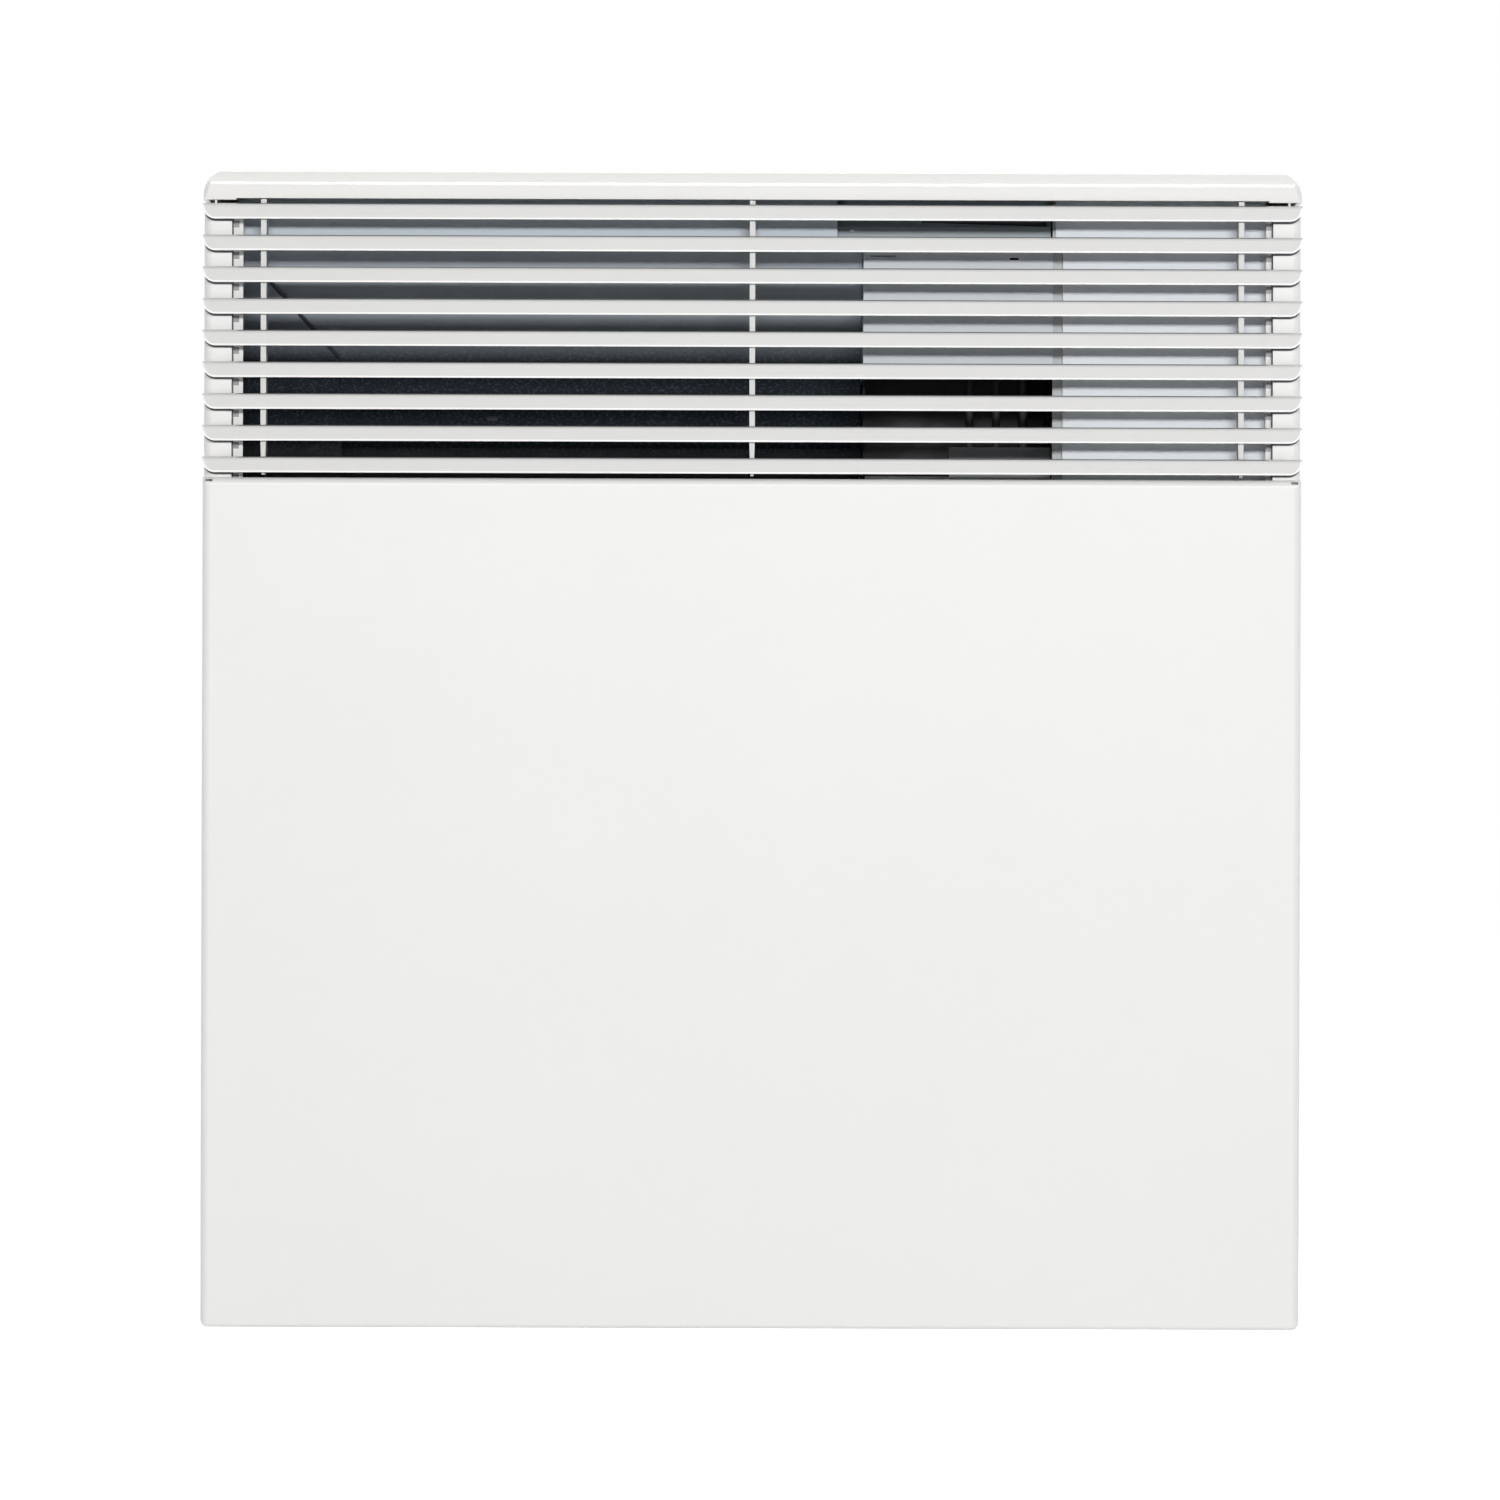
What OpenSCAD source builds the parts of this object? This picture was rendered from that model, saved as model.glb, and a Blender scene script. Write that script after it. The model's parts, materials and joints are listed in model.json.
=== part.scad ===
// Wall-mounted panel heater with a louvred outlet.
// X runs to the right, Y into the wall and Z up. The wall is the plane Y = 0, and the
// origin is the centre of the four wall screws. Depths behind the front panel are
// written as f values and drops below the top of the hood as d values.

/* [Casing] */
// Width of the casing
casing_w = 418; // [400:1:520]
// Height of the heater, from its bottom rim to the top of the hood
casing_h = 440; // [430:1:520]
// Depth from the front panel to the back of the back panel
casing_d = 80; // [78:1:100]
// Thickness of the casing's steel sheet
sheet_t = 1.2; // [0.8:0.1:1.6]
// Outer radius of the panel's side bends and bottom corners
side_bend_r = 3.2; // [2:0.1:5]
// Outer radius of the bend along the panel's top edge
top_bend_r = 3; // [2:0.1:4]
// Outer radius of the bottom bend
bottom_bend_r = 1.6; // [1.6:0.1:3]
// Outer radius of the rear bends
rear_bend_r = 1.8; // [1.7:0.1:3]
// Width of the casing's rear flanges
rear_flange_w = 12; // [10:0.5:16]
// Width of the rim round the bottom inlet, at the front
bottom_rim_w = 14; // [10:0.5:18]
// Depth of the flange at the top of the front panel
panel_flange_w = 12; // [10:0.5:12]
// Height of the wall screws' centre above the bottom rim
hang_h = 205; // [195:1:230]

/* [Hood] */
// Height of the hood's front face
hood_h = 10.7; // [9:0.1:14]
// Wall of the hood
hood_skin = 2; // [1.6:0.1:2.4]
// Radius of the hood's upper corners, seen from the front
hood_corner_r = 10.3; // [6:0.1:10.4]
// Radius of the crowned front face
hood_bulge_r = 16; // [12:1:40]
// Radius of the hood's upper front edge
hood_edge_r = 2.4; // [1:0.1:3]
// Width of the slightly deeper ends of the hood
hood_lug_w = 12.6; // [10:0.1:16]
// Extra height of those ends
hood_lug_h = 0.6; // [0.2:0.1:1]

/* [Outlet grille] */
// Number of louvre blades
louvre_count = 9; // [8:1:9]
// Distance from one blade to the next
louvre_pitch = 12.05; // [11.5:0.05:12.2]
// Height of a blade's face
louvre_face = 6; // [5.5:0.1:7]
// Thickness of a blade
louvre_t = 1.2; // [1:0.1:1.6]
// Outer radius of a blade's top bend
louvre_bend_r = 1.5; // [1.3:0.1:2]
// Depth of a blade from its face to the end of its flange
louvre_depth = 9.2; // [7:0.1:10]
// Slope of a blade's flange, falling to the rear
louvre_tilt = 14; // [5:1:18]
// Radius of a blade's lower corners
louvre_corner_r = 4.8; // [3:0.1:5]
// Gap between the hood and the first blade
hood_gap = 1.9; // [1.4:0.1:2.5]
// Gap between the last blade and the front panel
panel_gap = 1.8; // [1.2:0.1:2.5]
// Thickness of a vertical rib
rib_w = 2.1; // [2:0.1:3.5]
// Depth of a vertical rib's front edge behind the blades' faces
rib_front_f = 2.3; // [2.2:0.1:3]
// Depth of a vertical rib's rear edge
rib_rear_f = 9.6; // [9.2:0.1:13.5]
// Distance of the outer ribs from the casing's sides
rib_inset = 23; // [21:0.5:40]
// Width of the casing's front strips beside the outlet
strip_w = 10.7; // [9:0.1:13]
// Depth of those strips behind the blades' faces
strip_f = 4.5; // [4:0.1:5.5]

/* [Inner sheets] */
// Thickness of the inner sheets
inner_t = 0.8; // [0.6:0.1:1]
// Depth of the light plates seen between the blades
plate_f = 15; // [14.5:0.5:18]
// Depth of the end posts' faces
post_f = 8; // [7:0.5:12.5]
// Width of the duct's left corner sheet
corner_w = 46.6; // [40:0.1:60]
// Visible width of the left end post
left_post_w = 4; // [3.5:0.1:6]
// Visible width of the right end post
right_post_w = 2.4; // [2.4:0.1:6]
// Place of the partition between the controls and the right-hand bay
partition_x = 115; // [115:0.5:116]
// Width of the partition's front flange
partition_flange_w = 3.8; // [2:0.1:5]
// Place of the control shield's side wall
shield_x = 42.5; // [38:0.5:44]
// Drop at which the air deflector starts to lean back
deflector_top_d = 27; // [24:0.5:30]
// Drop at which the air deflector meets the back panel
deflector_low_d = 100; // [90:1:110]

/* [Controls] */
// Width of the control fascia
fascia_w = 82; // [82:0.5:84]
// Length of the control fascia, front to back
fascia_l = 40; // [38:0.5:42]
// Depth of the fascia's floor below the top of the hood
well_d = 12; // [11.5:0.1:13]
// Wall of the fascia
fascia_t = 1.5; // [1.2:0.1:1.8]
// Diameter of the thermostat dial
dial_d = 28; // [22:0.5:30]
// Diameter of the mode selector
selector_d = 18; // [14:0.5:20]
// Radius of both controls' shafts
shaft_r = 3; // [2.5:0.1:3.5]
// Running clearance of shafts and pivots in their holes
running_gap = 0.05; // [0.02:0.01:0.09]
// Width of the rocker
rocker_w = 12.4; // [11:0.1:13]
// Half length of the rocker
rocker_half = 9.4; // [8:0.1:9.6]
// Tilt of the rocker at either side of level
rocker_tilt = 8; // [5:1:9]

/* [Heating element] */
// Number of fins
fin_count = 24; // [16:1:25]
// Distance from the casing's side to the first fin
element_margin = 36.4; // [34:0.1:60]
// Thickness of a fin
fin_t = 2; // [1.5:0.1:3]
// Half height of a fin's arm
fin_arm = 30; // [22:0.5:32]
// Lean of a fin's arms from the vertical
fin_lean = 22; // [15:1:25]
// Radius of the heater rod
rod_r = 4; // [3:0.1:5]
// Height of the element's axis above the bottom rim
element_h = 95; // [80:1:110]

/* [Wall bracket] */
// Distance from the wall to the heater's back panel
wall_gap = 18; // [17:0.5:30]
// Thickness of the bracket's sheet
bracket_t = 1.5; // [1.2:0.1:2]
// Sideways distance between the wall screws
screw_span_x = 222; // [214:1:226]
// Upright distance between the wall screws
screw_span_z = 184; // [150:1:200]
// Radius of the wall screw holes
screw_hole_r = 3; // [2.5:0.1:3.5]
// Place of the rails' webs
rail_x = 122; // [122:0.5:126]
// Radius of the latches' pivots
latch_r = 3; // [2.5:0.1:3.5]

/* [Hidden] */
$fn = 48;

eps = 0.01;
seat_gap = 0.3;
half_w = casing_w / 2;
front_y = -(wall_gap + casing_d);
bottom_z = -hang_h;
top_z = casing_h - hang_h;
function yf(f) = front_y + f;
function zd(d) = top_z - d;

wall_in = half_w - sheet_t;
casing_f = casing_d - inner_t;
rear_in = half_w - rear_flange_w;
strip_in = half_w - strip_w;
louvre_d0 = hood_h + hood_gap;
deflector_foot_h = 14;
function louvre_d(i) = louvre_d0 + i * louvre_pitch;
grille_low_d = louvre_d(louvre_count - 1) + louvre_face;
panel_d = grille_low_d + panel_gap;
strip_top_d = louvre_d0 + 0.5;
rib_x = half_w - rib_inset;
rib_peg_f = 5;
rib_peg_h = 4;
tie_d0 = 2;
tie_h = 3;
blade_lug_w = 2;
blade_end_gap = 0.5;
end_pin_x = half_w - 5;
end_pin_f = 0.4;
end_pin_w = 0.8;
notch_w = 2.7;
notch_h = 0.9;
screw_x = half_w - rear_flange_w / 2 - 0.5;
screw_end_gap = 40;
screw_z = casing_h / 2 - screw_end_gap;

fascia_x1 = partition_x;
fascia_x0 = fascia_x1 - fascia_w;
fascia_f0 = plate_f + 6;
fascia_f1 = fascia_f0 + fascia_l;
fascia_fc = (fascia_f0 + fascia_f1) / 2;
fascia_rim = 3;
housing_d0 = well_d + 2 * fascia_t;
housing_d1 = housing_d0 + 12;
shield_top_d = housing_d1 + 1.3;
sensor_hole_d = housing_d0 + 7;
partition_t = 1;
side_gap = 0.1;
dial_x = fascia_x0 + fascia_t + 4.5 + dial_d / 2;
selector_x = dial_x + dial_d / 2 + 6 + selector_d / 2;
rocker_pivot_d = well_d + 1;
frame_in = rocker_half + 0.6;
frame_half_w = rocker_w / 2 + 0.3;
bezel_w = 2;
bezel_t = 1.5;
frame_t = 1;
frame_room = frame_t + 0.2;
lens_f = fascia_f1 - 5.5;
rocker_x = fascia_x1 - fascia_t - 1.5 - frame_half_w - bezel_w;

element_d = casing_h - element_h;
element_f = 40;
element_gap = 23;
element_x1 = shield_x - element_gap;
element_x0 = -half_w + element_margin;
fin_pitch = (element_x1 - element_x0 - fin_t) / (fin_count - 1);
support_gap = 7;
rod_x0 = element_x0 - support_gap - 9;
rod_x1 = element_x1 + support_gap + 9;
insulator_r = 7;
lead_r = 1.6;
lead_bend_r = 6;

rail_top_z = top_z - 35;
rail_low_z = bottom_z + 85;
latch_z = rail_top_z - 10;
hook_z = rail_low_z + 22;
vent_count = 16;
vent_pitch = 11;
vent_x = -20;
vent_z = bottom_z + 14;
vent_l = 20;
vent_r = 2;
rail_slot_z = [0, (screw_span_z / 2 + rail_top_z) / 2 - 6];
rail_slot_x = rail_x - 12;
rail_slot_half = 3;
rail_slot_l = 18;
bead_half = rail_x - 14;
bead_w = 9;
bead_h = 1.6;
bead_z = [bottom_z + 115, top_z - 115];
latch_x = rail_x + 10;
flange_y = -wall_gap + seat_gap;
slot_clear = 1;
hook_h = 10;
hook_depth = 9;
terminal_w = 39;
terminal_rise = 13.8;
terminal_x0 = partition_x - terminal_w;
terminal_d0 = panel_d - terminal_rise;
terminal_plate_h = 47;
terminal_plate_f = 30;
way_w = 10.4;
function way_x(i) = terminal_x0 + 3 + (i + 0.5) * way_w;
block_drop = 12;
lead_top_d = terminal_d0 + 34;
block_f = 49;
cutout_x = shield_x - 20;
cutout_d = terminal_d0 + 21;
cutout_plate_f = 27;
cutout_plate_w = 37;
cutout_lip = 12;
cutout_top = 8;
cutout_low = 13;
cutout_pin_x = 4;
cutout_tip_f = 42;
way_drop = 8;
cutout_run_f = [57, 63];
gland_x = 86;
gland_z = bottom_z + 55;

// A box between two x values, two depths and two drops
module block(x0, x1, f0, f1, d0, d1) {
    translate([x0, yf(f0), zd(d1)])
        cube([x1 - x0, f1 - f0, d1 - d0]);
}

// A side profile, drawn with depth to the right and height up, run from x0 to x1
module along_x(x0, x1) {
    translate([x0, 0, 0])
        rotate([90, 0, 90])
            linear_extrude(x1 - x0)
                children();
}

// A front outline, drawn with x to the right and height up, run from depth f0 to f1
module along_y(f0, f1) {
    translate([0, yf(f1), 0])
        rotate([90, 0, 0])
            linear_extrude(f1 - f0)
                children();
}

// A plan outline, drawn with x to the right and y up, run from drop d0 to d1
module along_z(d0, d1) {
    translate([0, 0, zd(d1)])
        linear_extrude(d1 - d0)
            children();
}

// A rectangle whose four corners have radii: low left, low right, top right, top left
module rounded_rect(x0, y0, x1, y1, r) {
    difference() {
        translate([x0, y0])
            square([x1 - x0, y1 - y0]);
        for (i = [0:3]) {
            right = (i == 1 || i == 2);
            up = (i > 1);
            if (r[i] > 0)
                translate([right ? x1 : x0, up ? y1 : y0])
                    mirror([right ? 1 : 0, 0])
                        mirror([0, up ? 1 : 0])
                            corner_cut(r[i]);
        }
    }
}

// What a rounded corner takes away from a square one
module corner_cut(r) {
    difference() {
        translate([-1, -1])
            square(r + 1);
        translate([r, r])
            circle(r);
    }
}

// Plan of the casing's walls: the outline is inset by t from the sheet's outer face
module casing_plan(t, front) {
    fr = max(side_bend_r - t, 0);
    rr = max(rear_bend_r - t, 0);
    rounded_rect(-half_w + t, yf(front + t), half_w - t, yf(casing_f - t), [fr, fr, rr, rr]);
}

// Front panel, its top flange and the bottom rim, inset by t
module panel_block(t) {
    low = zd(casing_h - t);
    high = zd(panel_d + t);
    low_r = max(side_bend_r - t, 0);
    bend_low = max(bottom_bend_r - t, 0);
    bend_high = max(top_bend_r - t, 0);
    intersection() {
        along_z(panel_d, casing_h)
            casing_plan(t, 0);
        along_x(-casing_w, casing_w)
            rounded_rect(yf(t), low, 0, high, [bend_low, 0, 0, bend_high]);
        along_y(0, casing_d)
            rounded_rect(-half_w + t, low, half_w - t, high, [low_r, low_r, 0, 0]);
    }
}

module screw_places() {
    for (sx = [-1, 1], sz = [-1, 0, 1])
        translate([sx * screw_x, 0, sz * screw_z + (top_z + bottom_z) / 2])
            children();
}

module casing() {
    color("#efeeeb")
        difference() {
            union() {
                difference() {
                    panel_block(0);
                    panel_block(sheet_t);
                    block(-wall_in, wall_in, panel_flange_w, casing_d, panel_d - 1, panel_d + 20);
                    block(-rear_in, rear_in, bottom_rim_w, casing_d + 1, casing_h - 20, casing_h + 1);
                }
                along_z(strip_top_d, panel_d + eps)
                    difference() {
                        casing_plan(0, strip_f);
                        casing_plan(sheet_t, strip_f);
                        translate([-strip_in, yf(0)])
                            square([2 * strip_in, casing_d / 2]);
                    }
            }
            block(-rear_in, rear_in, casing_d / 2, casing_d + 1, 0, casing_h + 1);
            for (s = [-1, 1])
                translate([s * (half_w - 2.6), yf(0), zd(panel_d + 1.2)])
                    cube([notch_w, 6, notch_h], center = true);
            screw_places()
                translate([0, yf(casing_f), 0])
                    rotate([90, 0, 0])
                        cylinder(h = 6, r = 1.8, center = true);
        }
}

// Hood outline, inset by t from its outer skin
module hood_block(t, drop) {
    corner = hood_corner_r - t;
    mid = hood_h / 2;
    low = zd(hood_h + drop);
    side_r = side_bend_r - t;
    intersection() {
        along_y(-1, casing_d + 1)
            rounded_rect(-half_w + t, low, half_w - t, zd(t), [0, 0, corner, corner]);
        along_x(-casing_w, casing_w)
            union() {
                intersection() {
                    translate([yf(hood_bulge_r), zd(mid)])
                        circle(hood_bulge_r - t, $fn = 96);
                    rounded_rect(yf(t), low, yf(hood_bulge_r), zd(t), [0, 0, 0, hood_edge_r - t / 2]);
                }
                translate([yf(hood_bulge_r) - eps, low])
                    square([casing_d - hood_bulge_r - t + eps, hood_h + drop - t]);
            }
        translate([0, 0, low])
            linear_extrude(hood_h + drop)
                rounded_rect(-half_w + t, yf(t), half_w - t, yf(casing_d - t),
                             [side_r, side_r, side_r, side_r]);
    }
}

module top_hood() {
    tab_d0 = hood_corner_r - 2;
    tab_h = 14;
    tab_d1 = hood_h + tab_h;
    tab_x = wall_in - seat_gap - hood_skin / 2;
    color("#f0efeb")
        difference() {
            union() {
                difference() {
                    union() {
                        hood_block(0, 0);
                        intersection() {
                            hood_block(0, hood_lug_h);
                            for (s = [-1, 1])
                                translate([s * (half_w - hood_lug_w / 2), yf(casing_d / 2), top_z])
                                    cube([hood_lug_w, casing_d + 2, 3 * hood_h], center = true);
                        }
                    }
                    hood_block(hood_skin, 1);
                }
                for (s = [-1, 1])
                    translate([s * tab_x, yf(casing_d / 2), zd((tab_d0 + tab_d1) / 2)])
                        cube([hood_skin, 16, tab_d1 - tab_d0], center = true);
            }
            along_z(-1, hood_skin + 1)
                rounded_rect(fascia_x0, yf(fascia_f0), fascia_x1, yf(fascia_f1), [4, 4, 4, 4]);
        }
}

// One louvre blade: a tall face with a rounded top bend and a flange that falls to the rear
module louvre_blade(d) {
    flange_half = strip_in - max(left_post_w, right_post_w) - blade_end_gap;
    full_half = half_w;
    bend_in = louvre_bend_r - louvre_t;
    intersection() {
        along_y(-1, casing_d)
            rounded_rect(-full_half, zd(d + louvre_face), full_half, zd(d),
                         [louvre_corner_r, louvre_corner_r, 0, 0]);
        along_x(-half_w, half_w)
            difference() {
                rounded_rect(yf(0), zd(d + louvre_face), yf(louvre_bend_r), zd(d),
                             [0, 0, 0, louvre_bend_r]);
                rounded_rect(yf(louvre_t), zd(d + louvre_face + 1), yf(louvre_bend_r) + 1,
                             zd(d + louvre_t), [0, 0, 0, bend_in]);
            }
    }
    along_x(-flange_half, flange_half)
        translate([yf(louvre_bend_r) - eps, zd(d)])
            rotate(-louvre_tilt)
                translate([0, -louvre_t])
                    square([louvre_depth - louvre_bend_r, louvre_t]);
}

// A rib behind the blades' faces, narrower at its lower tip, with a short tie to each face
// and a peg that locates it inside the hood
module grille_rib(x) {
    tip_d = louvre_d(louvre_count - 2) + louvre_face;
    low_d = grille_low_d + 0.7;
    half = rib_w / 2;
    tip_half = rib_w / 3.4;
    along_y(rib_front_f, rib_rear_f)
        polygon([
            [x - half, zd(hood_h + seat_gap)],
            [x + half, zd(hood_h + seat_gap)],
            [x + half, zd(tip_d)],
            [x + tip_half, zd(low_d)],
            [x - tip_half, zd(low_d)],
            [x - half, zd(tip_d)]
        ]);
    block(x - half, x + half, rib_peg_f, rib_rear_f, hood_h - rib_peg_h, hood_h + seat_gap + eps);
    for (i = [0:louvre_count - 1])
        block(x - tip_half, x + tip_half, louvre_t - eps, rib_front_f + eps,
              louvre_d(i) + tie_d0, louvre_d(i) + tie_d0 + tie_h);
}

module outlet_grille() {
    lug_out = [strip_in - 1, strip_in - 0.4];
    color("#e4e4e2") {
        for (i = [0:louvre_count - 1]) {
            lug_d = louvre_d(i) + tie_d0;
            louvre_blade(louvre_d(i));
            block(-lug_out[0], blade_lug_w - lug_out[0], louvre_t - eps, post_f, lug_d, lug_d + tie_h);
            block(lug_out[1] - blade_lug_w, lug_out[1], louvre_t - eps, post_f, lug_d, lug_d + tie_h);
        }
        for (s = [-1, 0, 1])
            grille_rib(s * rib_x);
        for (s = [-1, 1])
            block(s * end_pin_x - end_pin_w / 2, s * end_pin_x + end_pin_w / 2,
                  end_pin_f, end_pin_f + end_pin_w, hood_h + hood_lug_h + 0.2, louvre_d0 + louvre_t);
    }
}

// End post: a Z-shaped upright behind the strip, drawn for the right-hand side
module end_post(face_w) {
    back_f = strip_f + sheet_t;
    color("#dfe1e2")
        along_z(strip_top_d, panel_d) {
            translate([strip_in, yf(back_f)])
                square([strip_w - side_bend_r - 0.5, inner_t]);
            translate([strip_in, yf(back_f)])
                square([inner_t, post_f + inner_t - back_f]);
            translate([strip_in - face_w, yf(post_f)])
                square([face_w + inner_t, inner_t]);
        }
}

module end_post_left() {
    mirror([1, 0, 0])
        end_post(left_post_w);
}

module end_post_right() {
    end_post(right_post_w);
}

// An upright slot of half width w, with corners of radius r, cut through the back panel
module panel_slot(x, z0, z1, w, r) {
    along_y(casing_d - 4, casing_d + 2)
        rounded_rect(x - w, z0, x + w, z1, [r, r, r, r]);
}

// Side profile of a pressed bead: a low ridge of half width w, from depth f out towards the wall
module bead_outline(z, w, f, high) {
    polygon([
        [yf(f), z - w],
        [yf(f + high), z - w + high],
        [yf(f + high), z + w - high],
        [yf(f), z + w]
    ]);
}

module back_panel() {
    edge = half_w - 3;
    top_flange_w = 9;
    high_d = hood_h + hood_lug_h + seat_gap;
    color("#c9cccd")
        difference() {
            union() {
                block(-edge, edge, casing_f, casing_d, high_d, casing_h - 1);
                block(-edge + 4, edge - 4, casing_f - top_flange_w, casing_d, high_d, high_d + inner_t);
                for (z = bead_z)
                    along_x(-bead_half, bead_half)
                        bead_outline(z, bead_w / 2, casing_f, bead_h + inner_t);
            }
            for (s = [-1, 1]) {
                panel_slot(s * (rail_x + bracket_t / 2), rail_low_z, hook_z,
                           bracket_t / 2 + slot_clear, slot_clear / 2);
                panel_slot(s * latch_x, latch_z - 11, latch_z + 11, latch_r + 0.6, latch_r + 0.6);
            }
            for (i = [0:vent_count - 1])
                panel_slot((i - (vent_count - 1) / 2) * vent_pitch + vent_x, vent_z, vent_z + vent_l,
                           vent_r, vent_r);
            for (z = bead_z)
                along_x(-bead_half + 2, bead_half - 2)
                    bead_outline(z, bead_w / 2 - inner_t, casing_f - eps, bead_h);
            translate([gland_x, 0, gland_z])
                rotate([90, 0, 0])
                    cylinder(h = 2 * casing_d, r = 6.6, center = true);
            screw_places()
                translate([0, yf(casing_d), 0])
                    rotate([90, 0, 0])
                        cylinder(h = 6, r = 1.8, center = true);
        }
}

module base_grille() {
    edge = wall_in - 2;
    slot_l = 15;
    slot_n = 34;
    slot_pitch = (2 * rear_in - 8) / slot_n;
    color("#e6e6e3")
        difference() {
            block(-edge, edge, 4, casing_f - sheet_t - 1, casing_h - sheet_t - inner_t, casing_h - sheet_t);
            for (i = [0:slot_n - 1], row = [0:2])
                along_z(casing_h - 10, casing_h + 1)
                    translate([(i - (slot_n - 1) / 2) * slot_pitch, yf(19 + row * 19)])
                        rounded_rect(-1.9, 0, 1.9, slot_l, [1.9, 1.9, 1.9, 1.9]);
        }
}

module air_deflector() {
    left_x = -rear_in + seat_gap;
    right_x = shield_x - seat_gap;
    band_right_x = fascia_x0 - 0.6;
    foot_f = casing_f - inner_t;
    color("#cfd3d6") {
        block(left_x, band_right_x, plate_f, plate_f + inner_t, hood_skin + 2, deflector_top_d + eps);
        along_x(left_x, right_x)
            polygon([
                [yf(plate_f), zd(deflector_top_d)],
                [yf(plate_f + inner_t), zd(deflector_top_d)],
                [yf(casing_f), zd(deflector_low_d)],
                [yf(casing_f), zd(deflector_low_d + deflector_foot_h)],
                [yf(foot_f), zd(deflector_low_d + deflector_foot_h)],
                [yf(foot_f), zd(deflector_low_d + 1)]
            ]);
    }
}

// A corner sheet that lies parallel to the deflector, with a slanting free edge and an
// upright lower flange
module duct_corner_plate() {
    left_x = -wall_in;
    corner_f = 3;
    top_d = 38;
    flange_low_d = panel_d + 2;
    slope = (casing_f - plate_f) / (deflector_low_d - deflector_top_d);
    top_f = plate_f - corner_f + (top_d - deflector_top_d) * slope;
    low_d = deflector_low_d - 6;
    low_f = plate_f - corner_f + (low_d - deflector_top_d) * slope;
    color("#b9bec2") {
        intersection() {
            along_x(left_x, left_x + corner_w)
                polygon([
                    [yf(top_f - inner_t), zd(top_d)],
                    [yf(top_f), zd(top_d)],
                    [yf(low_f), zd(low_d)],
                    [yf(low_f), zd(flange_low_d)],
                    [yf(low_f - inner_t), zd(flange_low_d)],
                    [yf(low_f - inner_t), zd(low_d)]
                ]);
            along_y(0, casing_d)
                polygon([
                    [left_x, zd(top_d)],
                    [left_x + corner_w / 2 - 3.2, zd(top_d)],
                    [left_x + corner_w, zd(top_d + corner_w * 0.63)],
                    [left_x + corner_w, zd(flange_low_d)],
                    [left_x, zd(flange_low_d)]
                ]);
        }
        block(left_x, left_x + inner_t, top_f - inner_t, top_f + 8, top_d, top_d + 14);
    }
}

// Sheet in front of the control bay, with a side wall whose foot is screwed to the back
// panel and two locating slits, each given as its place, width, drop and height
module control_shield() {
    shield_low_d = 300;
    window_d = louvre_d(5) + louvre_face - 2.5;
    foot_w = 9;
    foot_d = deflector_low_d + deflector_foot_h + seat_gap;
    slit_d = louvre_d(1) + louvre_face;
    slits = [[2.7, 9.7, -0.1, 0.4], [56, 3.4, 0.65, 0.8]];
    lead_room = 3;
    wall_back = 3;
    color("#cfd3d6")
        difference() {
            union() {
                block(shield_x, partition_x, plate_f, plate_f + inner_t, shield_top_d, window_d);
                block(partition_x - inner_t, partition_x, plate_f, plate_f + 10, shield_top_d, window_d);
                block(shield_x, shield_x + inner_t, plate_f, casing_f, shield_top_d, window_d);
                block(shield_x, shield_x + inner_t, plate_f + wall_back, casing_f,
                      window_d - eps, shield_low_d);
                block(shield_x + inner_t - foot_w, shield_x + inner_t, casing_f - inner_t, casing_f,
                      foot_d, shield_low_d);
            }
            block(shield_x - 1, shield_x + 2, cutout_run_f[0] - lead_room, cutout_run_f[1] + lead_room,
                  cutout_d - lead_room, cutout_d + lead_room);
            for (slit = slits)
                block(shield_x + slit[0], shield_x + slit[0] + slit[1], 0, plate_f + 2,
                      slit_d + slit[2], slit_d + slit[2] + slit[3]);
        }
}

module partition() {
    top_d = housing_d0 + 1.5;
    low_d = casing_h - sheet_t - inner_t - seat_gap;
    flange_f = plate_f + inner_t + 0.7;
    color("#d5d8da")
        difference() {
            union() {
                block(partition_x, partition_x + partition_t, flange_f, casing_f, top_d, low_d);
                block(partition_x, partition_x + partition_flange_w - side_gap, flange_f,
                      flange_f + partition_t, shield_top_d, low_d);
                block(partition_x - 10, partition_x + partition_t, casing_f - inner_t, casing_f,
                      top_d, low_d);
            }
            translate([partition_x, yf(fascia_fc), zd(sensor_hole_d)])
                rotate([0, 90, 0])
                    cylinder(h = 6, r = 2.4, center = true);
        }
}

// Sheet in front of the right-hand bay, stepped round the partition's flange
module terminal_cover() {
    x0 = partition_x + partition_t;
    x1 = partition_x + partition_flange_w;
    low_d = 300;
    color("#cfd3d6") {
        block(x0, strip_in - 2, plate_f, plate_f + inner_t, hood_skin + 2, strip_top_d + 2);
        block(x0, wall_in, plate_f, plate_f + inner_t, strip_top_d, shield_top_d);
        block(x1, wall_in, plate_f, plate_f + inner_t, shield_top_d - eps, low_d);
        block(x1, x1 + inner_t, plate_f, plate_f + 12, shield_top_d, low_d);
        block(wall_in - inner_t, wall_in, plate_f, plate_f + 12, 30, low_d);
    }
}

// One fin: two crossed arms with round ends, round the rod's tube
module fin_outline() {
    arm_w = 9;
    hub_r = 9;
    for (a = [-fin_lean, fin_lean])
        rotate(a)
            rounded_rect(-arm_w / 2, -fin_arm - arm_w / 2, arm_w / 2, fin_arm + arm_w / 2,
                         [arm_w / 2, arm_w / 2, arm_w / 2, arm_w / 2]);
    circle(hub_r);
}

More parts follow.
